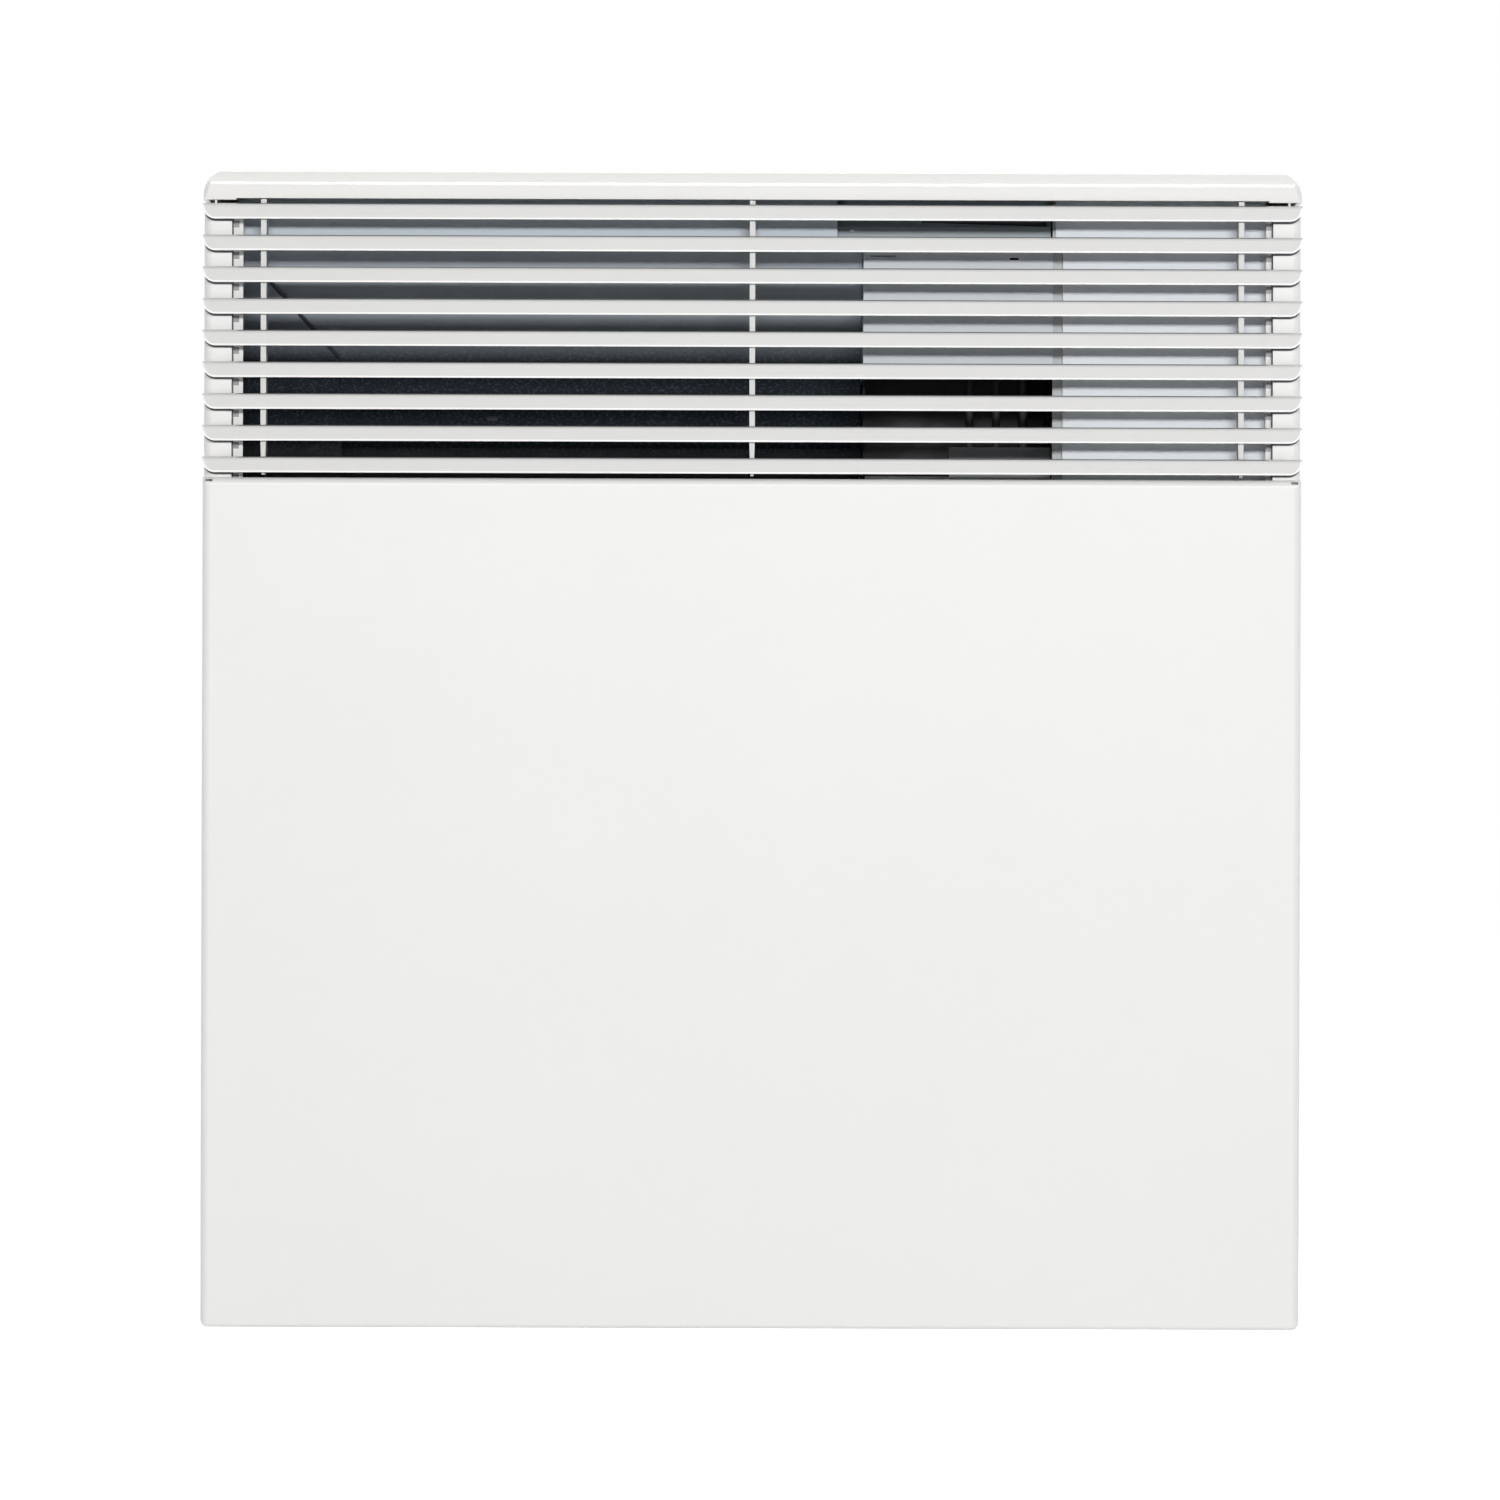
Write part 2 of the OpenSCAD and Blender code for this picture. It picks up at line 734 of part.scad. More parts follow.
module heating_element() {
    tube_r = rod_r + 3;
    color("#a9adb0")
        difference() {
            union() {
                for (i = [0:fin_count - 1])
                    along_x(element_x0 + i * fin_pitch, element_x0 + i * fin_pitch + fin_t)
                        translate([yf(element_f), zd(element_d)])
                            fin_outline();
                along_x(element_x0, element_x1)
                    translate([yf(element_f), zd(element_d)])
                        circle(tube_r);
            }
            along_x(element_x0 - 1, element_x1 + 1)
                translate([yf(element_f), zd(element_d)])
                    circle(rod_r + running_gap);
        }
}

module heater_rod() {
    color("#8d8f90")
        along_x(rod_x0, rod_x1)
            translate([yf(element_f), zd(element_d)])
                circle(rod_r);
}

// A ceramic bush, shouldered on the side of the element
module rod_insulator() {
    rotate([0, 90, 0])
        difference() {
            union() {
                cylinder(h = 8, r = insulator_r, center = true);
                translate([0, 0, 1])
                    cylinder(h = 3, r = insulator_r + 2.5);
            }
            cylinder(h = 20, r = rod_r + running_gap, center = true);
        }
}

module rod_insulators() {
    color("#f4efe4")
        for (s = [-1, 1])
            translate([s < 0 ? element_x0 - support_gap : element_x1 + support_gap,
                       yf(element_f), zd(element_d)])
                mirror([s < 0 ? 0 : 1, 0, 0])
                    rod_insulator();
}

// A bent sheet arm from the back panel that holds one insulator, drawn for the left end
module element_bracket(x) {
    half_h = 16;
    difference() {
        union() {
            along_x(x, x + 1)
                rounded_rect(yf(element_f - 14), zd(element_d) - half_h, yf(casing_f), zd(element_d) + half_h,
                             [6, 0, 0, 6]);
            block(x - 10, x + 1, casing_f - 1, casing_f, element_d - half_h, element_d + half_h);
        }
        translate([x, yf(element_f), zd(element_d)])
            rotate([0, 90, 0])
                cylinder(h = 6, r = insulator_r + running_gap, center = true);
    }
}

module element_bracket_left() {
    color("#bfc3c6")
        element_bracket(element_x0 - support_gap);
}

module element_bracket_right() {
    mid = element_x1 + support_gap;
    color("#bfc3c6")
        translate([mid, 0, 0])
            mirror([1, 0, 0])
                element_bracket(0);
}

module cutout_bracket() {
    right_x = shield_x;
    color("#c6cacd")
        difference() {
            union() {
                block(right_x - cutout_plate_w, right_x, cutout_plate_f, cutout_plate_f + 1,
                      cutout_d - cutout_top, cutout_d + cutout_low);
                block(right_x - 1, right_x, cutout_plate_f, cutout_plate_f + cutout_lip,
                      cutout_d - cutout_top, cutout_d + cutout_low);
            }
            translate([cutout_x, yf(cutout_plate_f), zd(cutout_d)])
                rotate([90, 0, 0])
                    cylinder(h = 8, r = 6.3, center = true);
        }
}

// Bimetal cut-out: a cap through the bracket, a flange behind it and two blade terminals
module thermal_cutout() {
    color("#3a3d42")
        translate([cutout_x, yf(cutout_plate_f + 1), zd(cutout_d)])
            rotate([-90, 0, 0]) {
                translate([0, 0, -3])
                    cylinder(h = 4, r = 6);
                cylinder(h = 7, r = 8);
                for (s = [-1, 1])
                    translate([s * cutout_pin_x - 1.6, -0.4, 7 - eps])
                        cube([3.2, 0.8, 7]);
            }
}

module terminal_bracket() {
    color("#c6cacd") {
        block(terminal_x0, partition_x, terminal_plate_f, terminal_plate_f + 1,
              terminal_d0, terminal_d0 + terminal_plate_h);
        block(partition_x - 1, partition_x, terminal_plate_f, terminal_plate_f + 12,
              terminal_d0, terminal_d0 + terminal_plate_h);
    }
}

module terminal_block() {
    body_x0 = terminal_x0 + 3;
    ways = 3;
    color("#f1eee4")
        difference() {
            block(body_x0, body_x0 + ways * way_w, terminal_plate_f + 1, block_f,
                  terminal_d0 + block_drop, lead_top_d);
            for (i = [0:ways - 1])
                translate([way_x(i), yf(block_f), 0])
                    for (d = [cutout_d, cutout_d + way_drop])
                        translate([0, 0, zd(d)])
                            rotate([90, 0, 0])
                                cylinder(h = 12, r = 2.6, center = true);
        }
}

// Cord gland: a flanged bush in the back panel with a clear bore for the supply cord
module cord_gland() {
    color("#e9e8e4")
        translate([gland_x, -wall_gap, gland_z])
            rotate([90, 0, 0])
                difference() {
                    union() {
                        translate([0, 0, -2.5])
                            cylinder(h = 2.5, r = 9.5);
                        translate([0, 0, -eps])
                            cylinder(h = 14, r = 6.5);
                        translate([0, 0, inner_t + 0.05])
                            cylinder(h = 2.2, r = 8.6, $fn = 6);
                    }
                    translate([0, 0, -4])
                        cylinder(h = 24, r = 3.8);
                }
}

module control_fascia() {
    floor_d = well_d;
    r_out = 4;
    inner_r = r_out - fascia_t;
    color("#5b6778")
        difference() {
            union() {
                along_z(hood_skin, floor_d + fascia_t)
                    rounded_rect(fascia_x0, yf(fascia_f0), fascia_x1, yf(fascia_f1),
                                 [r_out, r_out, r_out, r_out]);
                along_z(hood_skin, hood_skin + fascia_t)
                    rounded_rect(fascia_x0 - fascia_rim, yf(fascia_f0 - fascia_rim), fascia_x1 + fascia_rim,
                                 yf(fascia_f1 + fascia_rim), [6, 6, 6, 6]);
            }
            along_z(hood_skin - 1, floor_d)
                rounded_rect(fascia_x0 + fascia_t, yf(fascia_f0 + fascia_t), fascia_x1 - fascia_t,
                             yf(fascia_f1 - fascia_t), [inner_r, inner_r, inner_r, inner_r]);
            for (x = [dial_x, selector_x])
                translate([x, yf(fascia_fc), zd(floor_d + 5)])
                    cylinder(h = 10, r = shaft_r + running_gap);
            block(rocker_x - frame_half_w - frame_room, rocker_x + frame_half_w + frame_room,
                  fascia_fc - frame_in - frame_room, fascia_fc + frame_in + frame_room,
                  floor_d - 1, floor_d + 5);
            translate([selector_x, yf(lens_f), zd(floor_d + 5)])
                cylinder(h = 10, r = 2.05);
        }
}

// Closed box under the fascia, with a bevelled front edge and a slanting opening in it
module control_housing() {
    x0 = fascia_x0 - 1;
    x1 = fascia_x1 - 0.5;
    f0 = fascia_f0 - 1;
    f1 = fascia_f1 - 1;
    wall = 1.6;
    slant = 4;
    opening_x0 = fascia_x0 + 32;
    opening_d = [housing_d0 + 2.3, housing_d0 + 3.8];
    color("#56637a")
        difference() {
            intersection() {
                block(x0, x1, f0, f1, housing_d0 - fascia_t, housing_d1);
                along_x(0, casing_w)
                    polygon([
                        [yf(f0), zd(housing_d0 + slant)],
                        [yf(f0 + slant), zd(housing_d0 - fascia_t)],
                        [yf(f1), zd(housing_d0 - fascia_t)],
                        [yf(f1), zd(housing_d1)],
                        [yf(f0), zd(housing_d1)]
                    ]);
            }
            block(x0 + wall, x1 - wall, f0 + slant + wall, f1 - wall, 0, housing_d1 - wall);
            along_y(f0 - 1, f0 + slant + wall + eps)
                polygon([
                    [opening_x0, zd(opening_d[0])],
                    [opening_x0, zd(0)],
                    [x1 - wall, zd(0)],
                    [x1 - wall, zd(opening_d[1])]
                ]);
            translate([x1, yf(fascia_fc), zd(sensor_hole_d)])
                rotate([0, 90, 0])
                    cylinder(h = 6, r = 1.5, center = true);
        }
}

// Circuit board with the two rotary controls' bodies and a relay
module control_board() {
    board_d = housing_d1 - 3.4;
    color("#2f6b46") {
        block(fascia_x0 + 4, fascia_x1 - 4, fascia_f0 + 6, fascia_f1 - 4, board_d, board_d + 1.6);
        for (x = [dial_x, selector_x])
            translate([x, yf(fascia_fc), zd(board_d + eps)])
                difference() {
                    cylinder(h = 6.4, r = 7);
                    translate([0, 0, 1])
                        cylinder(h = 8, r = shaft_r + running_gap);
                }
    }
}

// A knob with a skirt, a fluted grip and a shaft, standing on z = 0 at the floor of the well
module fluted_knob(r, grip_r, high, flutes) {
    skirt_h = 2;
    shaft_l = housing_d1 - 3.4 - 1.2 - well_d;
    difference() {
        union() {
            translate([0, 0, seat_gap])
                cylinder(h = skirt_h, r = r);
            intersection() {
                translate([0, 0, seat_gap])
                    cylinder(h = high, r = grip_r);
                translate([0, 0, high + seat_gap - 60])
                    sphere(r = 60, $fn = 96);
            }
        }
        for (i = [0:flutes - 1])
            rotate(i * 360 / flutes)
                translate([grip_r + 0.5, 0, skirt_h + seat_gap])
                    cylinder(h = high, r = 1.1, $fn = 24);
    }
    translate([0, 0, -shaft_l])
        cylinder(h = shaft_l + seat_gap + eps, r = shaft_r);
}

// The dial, with a pointer groove in the top of its grip
module thermostat_dial() {
    grip_r = dial_d / 2 - 3;
    grip_h = well_d - 1.5;
    mark_w = 1.4;
    mark_l = 7;
    mark_depth = 1.4;
    color("#e9e9e6")
        translate([dial_x, yf(fascia_fc), zd(well_d)])
            difference() {
                fluted_knob(dial_d / 2, grip_r, grip_h, 20);
                translate([-mark_w / 2, -grip_r - seat_gap, grip_h + seat_gap - mark_depth])
                    cube([mark_w, mark_l, 2 * mark_depth]);
            }
}

// A disc with a grip bar across it, a pointer groove in the bar's front half, and a shaft
module mode_selector() {
    bar_w = 4.4;
    high = well_d - 2;
    shaft_l = housing_d1 - 3.4 - 1.2 - well_d;
    r = selector_d / 2;
    mark_w = 1.2;
    mark_depth = 0.8;
    color("#e9e9e6")
        translate([selector_x, yf(fascia_fc), zd(well_d)])
            difference() {
                union() {
                    translate([0, 0, seat_gap])
                        cylinder(h = 3, r = r);
                    translate([0, 0, seat_gap])
                        linear_extrude(high - seat_gap)
                            intersection() {
                                circle(r - 0.6);
                                square([bar_w, 2 * r], center = true);
                            }
                    translate([0, 0, -shaft_l])
                        cylinder(h = shaft_l + seat_gap + eps, r = shaft_r);
                }
                translate([-mark_w / 2, -r, high - mark_depth])
                    cube([mark_w, r - 2, 2 * mark_depth]);
            }
}

module switch_frame() {
    base_d = rocker_pivot_d + 5.2;
    pin_r = 1.2;
    color("#2c2f35")
        difference() {
            union() {
                block(rocker_x - frame_half_w - frame_t, rocker_x + frame_half_w + frame_t,
                      fascia_fc - frame_in - frame_t, fascia_fc + frame_in + frame_t,
                      well_d - 1, base_d + frame_t);
                along_z(well_d - bezel_t, well_d)
                    rounded_rect(rocker_x - frame_half_w - bezel_w, yf(fascia_fc - frame_in - bezel_w),
                                 rocker_x + frame_half_w + bezel_w, yf(fascia_fc + frame_in + bezel_w),
                                 [1.5, 1.5, 1.5, 1.5]);
            }
            block(rocker_x - frame_half_w, rocker_x + frame_half_w,
                  fascia_fc - frame_in, fascia_fc + frame_in, 0, base_d);
            translate([rocker_x, yf(fascia_fc), zd(rocker_pivot_d)])
                rotate([0, 90, 0])
                    cylinder(h = 2 * frame_half_w + 1.4, r = pin_r + running_gap, center = true);
        }
}

module rocker_switch() {
    pin_r = 1.2;
    top_h = 4.4;
    color("#3d4148")
        translate([rocker_x, yf(fascia_fc), zd(rocker_pivot_d)])
            rotate([rocker_tilt, 0, 0]) {
                rotate([90, 0, 90])
                    translate([0, 0, -rocker_w / 2])
                        linear_extrude(rocker_w)
                            intersection() {
                                circle(rocker_half);
                                polygon([
                                    [-rocker_half, -3], [rocker_half, -3], [rocker_half, top_h],
                                    [rocker_half / 3, top_h - 1.1], [-rocker_half / 3, top_h - 1.1],
                                    [-rocker_half, top_h]
                                ]);
                            }
                rotate([0, 90, 0])
                    cylinder(h = rocker_w + 1.2, r = pin_r, center = true);
            }
}

module indicator_lens() {
    color("#e8a33c")
        translate([selector_x, yf(lens_f), zd(well_d)]) {
            translate([0, 0, -fascia_t])
                cylinder(h = fascia_t + eps, r = 2);
            cylinder(h = 0.8, r = 2.8);
        }
}

sensor_x = half_w - 49;
sensor_d = casing_h - 30;
sensor_f = fascia_fc;

module room_sensor() {
    color("#23262b")
        translate([sensor_x, yf(sensor_f), zd(sensor_d)]) {
            cylinder(h = 16, r = 3);
            sphere(r = 3);
        }
}

// A spring clip on the back panel that holds the sensor's barrel
module sensor_clip() {
    color("#e9e8e4")
        difference() {
            union() {
                translate([sensor_x, yf(sensor_f), zd(sensor_d - 4)])
                    cylinder(h = 8, r = 4.6);
                block(sensor_x - 2, sensor_x + 2, sensor_f + 3.5, casing_f, sensor_d - 12, sensor_d - 4);
                block(sensor_x - 7, sensor_x + 7, casing_f - 1.5, casing_f, sensor_d - 14, sensor_d - 2);
            }
            translate([sensor_x, yf(sensor_f), zd(sensor_d + 10)])
                cylinder(h = 40, r = 3 + running_gap);
            block(sensor_x - 2, sensor_x + 2, sensor_f - 8, sensor_f, sensor_d - 20, sensor_d + 4);
        }
}

// An insulated lead that runs along local z, then bends towards local x turned by a roll,
// once for each [length, roll] pair
module lead(steps, r, i = 0) {
    cylinder(h = steps[i][0] + eps, r = r, $fn = 24);
    if (i < len(steps) - 1)
        translate([0, 0, steps[i][0]])
            rotate([0, 0, steps[i][1]]) {
                translate([lead_bend_r, 0, 0])
                    rotate([90, 0, 0])
                        rotate([0, 0, 90])
                            rotate_extrude(angle = 90)
                                translate([lead_bend_r, 0])
                                    circle(r, $fn = 24);
                translate([lead_bend_r, 0, lead_bend_r])
                    rotate([0, 90, 0])
                        lead(steps, r, i + 1);
            }
}

module element_leads() {
    near_x = way_x(0);
    outer_x = way_x(2);
    low_d = element_d + 50;
    far_x = rod_x0 - lead_bend_r - 4;
    color("#e9e7df") {
        translate([near_x, yf(element_f), zd(lead_top_d)])
            rotate([0, 180, 0])
                lead([[element_d - lead_top_d - lead_bend_r, 0], [near_x - lead_bend_r - rod_x1]], lead_r);
        translate([outer_x, yf(element_f), zd(lead_top_d)])
            rotate([0, 180, 0])
                lead([
                    [low_d - lead_top_d - lead_bend_r, 0],
                    [outer_x - far_x - 2 * lead_bend_r, 0],
                    [low_d - element_d - 2 * lead_bend_r, 0],
                    [rod_x0 - far_x - lead_bend_r]
                ], lead_r);
    }
}

// Two leads from the cut-out's terminals, through the shield and into the block's rear holes
module cutout_leads() {
    end_f = block_f - 5.6;
    color("#e9e7df")
        for (i = [0, 1]) {
            start_x = cutout_x + (i == 0 ? 1 : -1) * cutout_pin_x;
            run = cutout_run_f[i];
            translate([start_x, yf(cutout_tip_f), zd(cutout_d)])
                rotate([-90, 0, 0])
                    lead([
                        [run - cutout_tip_f - lead_bend_r, 0],
                        [way_x(i + 1) - start_x - 2 * lead_bend_r, 0],
                        [run - lead_bend_r - end_f]
                    ], lead_r);
        }
}

module control_leads() {
    top_d = housing_d1;
    color("#8d5a3a")
        for (i = [0:2])
            translate([way_x(i), yf(element_f), zd(terminal_d0 + block_drop)])
                cylinder(h = terminal_d0 + block_drop - top_d, r = lead_r, $fn = 24);
}

module sensor_lead() {
    start_x = fascia_x1 - 0.5 - 1.6;
    color("#6f7276")
        translate([start_x, yf(fascia_fc), zd(sensor_hole_d)])
            rotate([0, 90, 0])
                lead([
                    [sensor_x - start_x - lead_bend_r, 0],
                    [sensor_d - 16 - sensor_hole_d - lead_bend_r]
                ], 1.3);
}

// Rail: wall flange, web and front flange, with a hook below and a latch hole above,
// drawn for the right-hand side
module bracket_rail() {
    wall_flange_w = 22;
    front_flange_w = 20;
    hook_y0 = -wall_gap - hook_depth;
    color("#b9bdc0")
        difference() {
            union() {
                translate([rail_x - wall_flange_w, -bracket_t, rail_low_z])
                    cube([wall_flange_w + bracket_t, bracket_t, rail_top_z - rail_low_z]);
                translate([rail_x, flange_y, rail_low_z])
                    cube([bracket_t, -flange_y, rail_top_z - rail_low_z]);
                translate([rail_x, flange_y, rail_low_z + 24])
                    cube([front_flange_w, bracket_t, rail_top_z - rail_low_z - 24]);
                translate([rail_x, 0, 0])
                    rotate([90, 0, 90])
                        linear_extrude(bracket_t)
                            difference() {
                                rounded_rect(hook_y0, hook_z - hook_h,
                                             hook_y0 + hook_depth + 2, hook_z + hook_h, [5, 0, 0, 1.4]);
                                translate([hook_y0 + 3, hook_z])
                                    square([hook_depth + 5, 2 * hook_h]);
                            }
            }
            for (s = [-1, 1])
                translate([screw_span_x / 2, 0, s * screw_span_z / 2])
                    rotate([90, 0, 0])
                        cylinder(h = 6, r = screw_hole_r, center = true);
            for (z = rail_slot_z)
                translate([0, 6, 0])
                    rotate([90, 0, 0])
                        linear_extrude(12)
                            rounded_rect(rail_slot_x - rail_slot_half, z - rail_slot_l / 2,
                                         rail_slot_x + rail_slot_half, z + rail_slot_l / 2,
                                         [rail_slot_half, rail_slot_half, rail_slot_half, rail_slot_half]);
            translate([latch_x, flange_y, latch_z])
                rotate([90, 0, 0])
                    cylinder(h = 6, r = latch_r + running_gap, center = true);
        }
}

module bracket_rail_right() {
    bracket_rail();
}

module bracket_rail_left() {
    mirror([1, 0, 0])
        bracket_rail();
}

// A crossbar with two folded edges, spot-welded on the rails' wall flanges
module bracket_crossbar(z) {
    bar_h = 26;
    lip = 5;
    half_l = rail_x - seat_gap;
    color("#b9bdc0")
        difference() {
            translate([-half_l, -bracket_t - lip, z - bar_h / 2])
                cube([2 * half_l, lip, bar_h]);
            translate([-half_l - 1, -bracket_t - lip - 1, z - bar_h / 2 + bracket_t])
                cube([2 * half_l + 2, lip + 1 - bracket_t, bar_h - 2 * bracket_t]);
            for (x = [-1, 0, 1])
                translate([x * half_l / 2, 0, z])
                    rotate([90, 0, 0])
                        cylinder(h = 12, r = 4, center = true);
        }
}

module bracket_crossbar_upper() {
    bracket_crossbar(52);
}

module bracket_crossbar_lower() {
    bracket_crossbar(-52);
}

// Quarter-turn latch: a finger lever behind the flange, a pivot and a locking bar inside
// the casing, drawn for the right-hand side about its own pivot
module latch() {
    bar_l = 20;
    bar_t = 2.6;
    bar_y1 = -wall_gap - inner_t - 0.5;
    lever_y0 = flange_y + bracket_t + 0.2;
    lever_t = 3;
    color("#dadbd8") {
        translate([0, lever_y0 + lever_t, 0])
            rotate([90, 0, 0])
                cylinder(h = lever_y0 + lever_t - bar_y1, r = latch_r);
        translate([0, lever_y0 + lever_t, 0])
            rotate([90, 0, 0]) {
                cylinder(h = lever_t, r = 7);
                linear_extrude(lever_t)
                    rounded_rect(-5, 0, 5, 27, [0, 0, 5, 5]);
            }
        translate([0, bar_y1, 0])
            rotate([90, 0, 0])
                linear_extrude(bar_t)
                    rounded_rect(-bar_l / 2, -latch_r, bar_l / 2, latch_r,
                                 [latch_r, latch_r, latch_r, latch_r]);
    }
}

module latch_right() {
    translate([latch_x, 0, latch_z])
        latch();
}

module latch_left() {
    translate([-latch_x, 0, latch_z])
        latch();
}

// Pan-head screw with a cross recess, driven from behind
module pan_screw() {
    difference() {
        union() {
            intersection() {
                cylinder(h = 2.2, r = 3.4);
                translate([0, 0, -4.6])
                    sphere(r = 6.8);
            }
            translate([0, 0, -8])
                cylinder(h = 8 + eps, r = 1.7);
        }
        for (a = [0, 90])
            rotate(a)
                translate([0, 0, 2.2])
                    cube([3.2, 0.7, 2], center = true);
    }
}

module casing_screws() {
    color("#9b9ea1")
        screw_places()
            translate([0, -wall_gap, 0])
                rotate([-90, 0, 0])
                    pan_screw();
}

casing();
top_hood();
outlet_grille();
end_post_left();
end_post_right();
back_panel();
base_grille();
air_deflector();
duct_corner_plate();
control_shield();
partition();
terminal_cover();
heating_element();
heater_rod();
rod_insulators();
element_bracket_left();
element_bracket_right();
cutout_bracket();
thermal_cutout();
terminal_bracket();
terminal_block();
cord_gland();
control_fascia();
control_housing();
control_board();
thermostat_dial();
mode_selector();
switch_frame();
rocker_switch();
indicator_lens();
room_sensor();
sensor_clip();
element_leads();
cutout_leads();
control_leads();
sensor_lead();
bracket_rail_left();
bracket_rail_right();
bracket_crossbar_upper();
bracket_crossbar_lower();
latch_left();
latch_right();
casing_screws();
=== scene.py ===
# %% [markdown]
# # A wall-mounted panel heater
# The heater is a flat white steel box with a louvred outlet near its top. Its shapes come from
# the CAD model, which is loaded first and never moved. This lesson gives every sheet, moulding
# and wire its finish, adds the small parts that are too fine for the CAD, and lights it all.

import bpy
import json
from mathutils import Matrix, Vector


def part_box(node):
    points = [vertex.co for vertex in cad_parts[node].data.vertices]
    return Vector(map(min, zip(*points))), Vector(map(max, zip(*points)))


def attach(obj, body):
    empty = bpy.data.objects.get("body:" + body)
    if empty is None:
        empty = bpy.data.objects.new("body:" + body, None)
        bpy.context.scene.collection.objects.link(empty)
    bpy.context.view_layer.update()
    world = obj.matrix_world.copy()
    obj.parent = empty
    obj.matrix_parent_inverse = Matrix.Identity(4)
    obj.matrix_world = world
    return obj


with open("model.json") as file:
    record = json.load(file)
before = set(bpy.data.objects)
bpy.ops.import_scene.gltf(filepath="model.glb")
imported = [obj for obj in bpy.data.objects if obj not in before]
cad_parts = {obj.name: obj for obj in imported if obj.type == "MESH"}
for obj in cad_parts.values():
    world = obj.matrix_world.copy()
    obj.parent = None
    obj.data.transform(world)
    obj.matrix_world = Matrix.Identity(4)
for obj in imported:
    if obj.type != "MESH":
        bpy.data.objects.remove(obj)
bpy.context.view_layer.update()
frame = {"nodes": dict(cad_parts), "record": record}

# %% [markdown]
# Blender works in metres, and a heater is drawn in millimetres, so one factor turns the one
# into the other. The frame's own boxes say where the front panel, the hood and the sides are,
# so that no place has to be typed twice.

# %% Measure the heater
import json
import math

import bpy
from mathutils import Matrix, Vector

MM = 0.001
FRONT_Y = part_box("casing")[0].y
BOTTOM_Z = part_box("casing")[0].z
TOP_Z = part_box("top_hood")[1].z
HALF_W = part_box("casing")[1].x
MIDDLE_Z = (BOTTOM_Z + TOP_Z) / 2
print("front at y", round(FRONT_Y, 4), "half width", round(HALF_W, 4))
print("height", round(TOP_Z - BOTTOM_Z, 4))

# %% [markdown]
# ## The camera
# The photograph is taken straight on, from about two metres, with the heater filling three
# quarters of a square frame. A long lens keeps the sides parallel. Its focal length is worked
# out from the distance and the width of the picture, so that either can be changed alone. The
# picture leans by a fraction of a degree, which the camera copies by rolling the other way.

# %% Place the camera
SENSOR_MM = 36
FRAME_WIDTH = 570.0 * MM
CAMERA_DISTANCE = 2.0
CAMERA_ROLL = math.radians(-0.18)
CAMERA_X = -0.4 * MM

lens = bpy.data.cameras.new("photo_camera")
lens.sensor_width = SENSOR_MM
lens.lens = SENSOR_MM * CAMERA_DISTANCE / FRAME_WIDTH
camera = bpy.data.objects.new("photo_camera", lens)
bpy.context.scene.collection.objects.link(camera)
camera.location = (CAMERA_X, FRONT_Y - CAMERA_DISTANCE, MIDDLE_Z)
camera.rotation_euler = (math.radians(90), CAMERA_ROLL, 0)
bpy.context.scene.camera = camera
print("focal length in mm:", round(lens.lens, 1))

# %% [markdown]
# ## The light
# A soft box behind and above the camera gives the louvres their short shadows on the sheets
# behind them, and a narrow strip high in front draws the thin highlight along the hood. Wider
# boxes at the sides, above and behind only reach the faces that the first one misses, and an
# even sky fills in between them. A large lamp of the same power shines less brightly in a glossy
# surface, so the side and rear boxes are wide. All of it adds up to a level at which a colour
# looks as it is written. A picture of a studio could light the heater too, but each of these
# lamps can be set by itself.

# %% Hang the soft boxes
def soft_box(name, aim, away, wide, tall, watts):
    """A rectangular lamp that hangs some way from a point and faces it."""
    lamp = bpy.data.lights.new(name, "AREA")
    lamp.shape = "RECTANGLE"
    lamp.size = wide
    lamp.size_y = tall
    lamp.energy = watts
    holder = bpy.data.objects.new(name, lamp)
    bpy.context.scene.collection.objects.link(holder)
    holder.location = aim + Vector(away)
    holder.rotation_euler = (-Vector(away)).to_track_quat("-Z", "Y").to_euler()


MIDDLE = Vector((0, FRONT_Y / 2, MIDDLE_Z))
PANEL = Vector((0, FRONT_Y, MIDDLE_Z))
HOOD = Vector((0, FRONT_Y, TOP_Z))
# what each lamp faces, how far it hangs from there, its width and height, and its watts
LAMPS = {
    "key_box": (PANEL, (0.25, -3.0, 0.62), 1.8, 0.28, 61),
    "strip_box": (HOOD, (0.15, -0.95, 1.25), 1.1, 0.07, 1.6),
    "side_box_-1": (MIDDLE, (-1.5, 0.6, 0.33), 1.8, 1.2, 6),
    "side_box_1": (MIDDLE, (1.5, 0.6, 0.33), 1.8, 1.2, 6),
    "top_box": (MIDDLE, (0, 0.3, 1.5), 1.0, 0.7, 12),
    "rear_box": (MIDDLE, (0, 1.7, 0.5), 2.0, 1.1, 8),
}
for name, settings in LAMPS.items():
    soft_box(name, *settings)
print("lamps:", len(LAMPS))

# %% [markdown]
# The background is pure white. A white wall would need lamps of its own, so the world shows
# white to the camera and to mirror-like surfaces, but lights the heater at a lower, even level.

# %% Make the sky
SKY_LEVEL = 0.075
SKY_TINT = (0.94, 0.97, 1.0, 1)

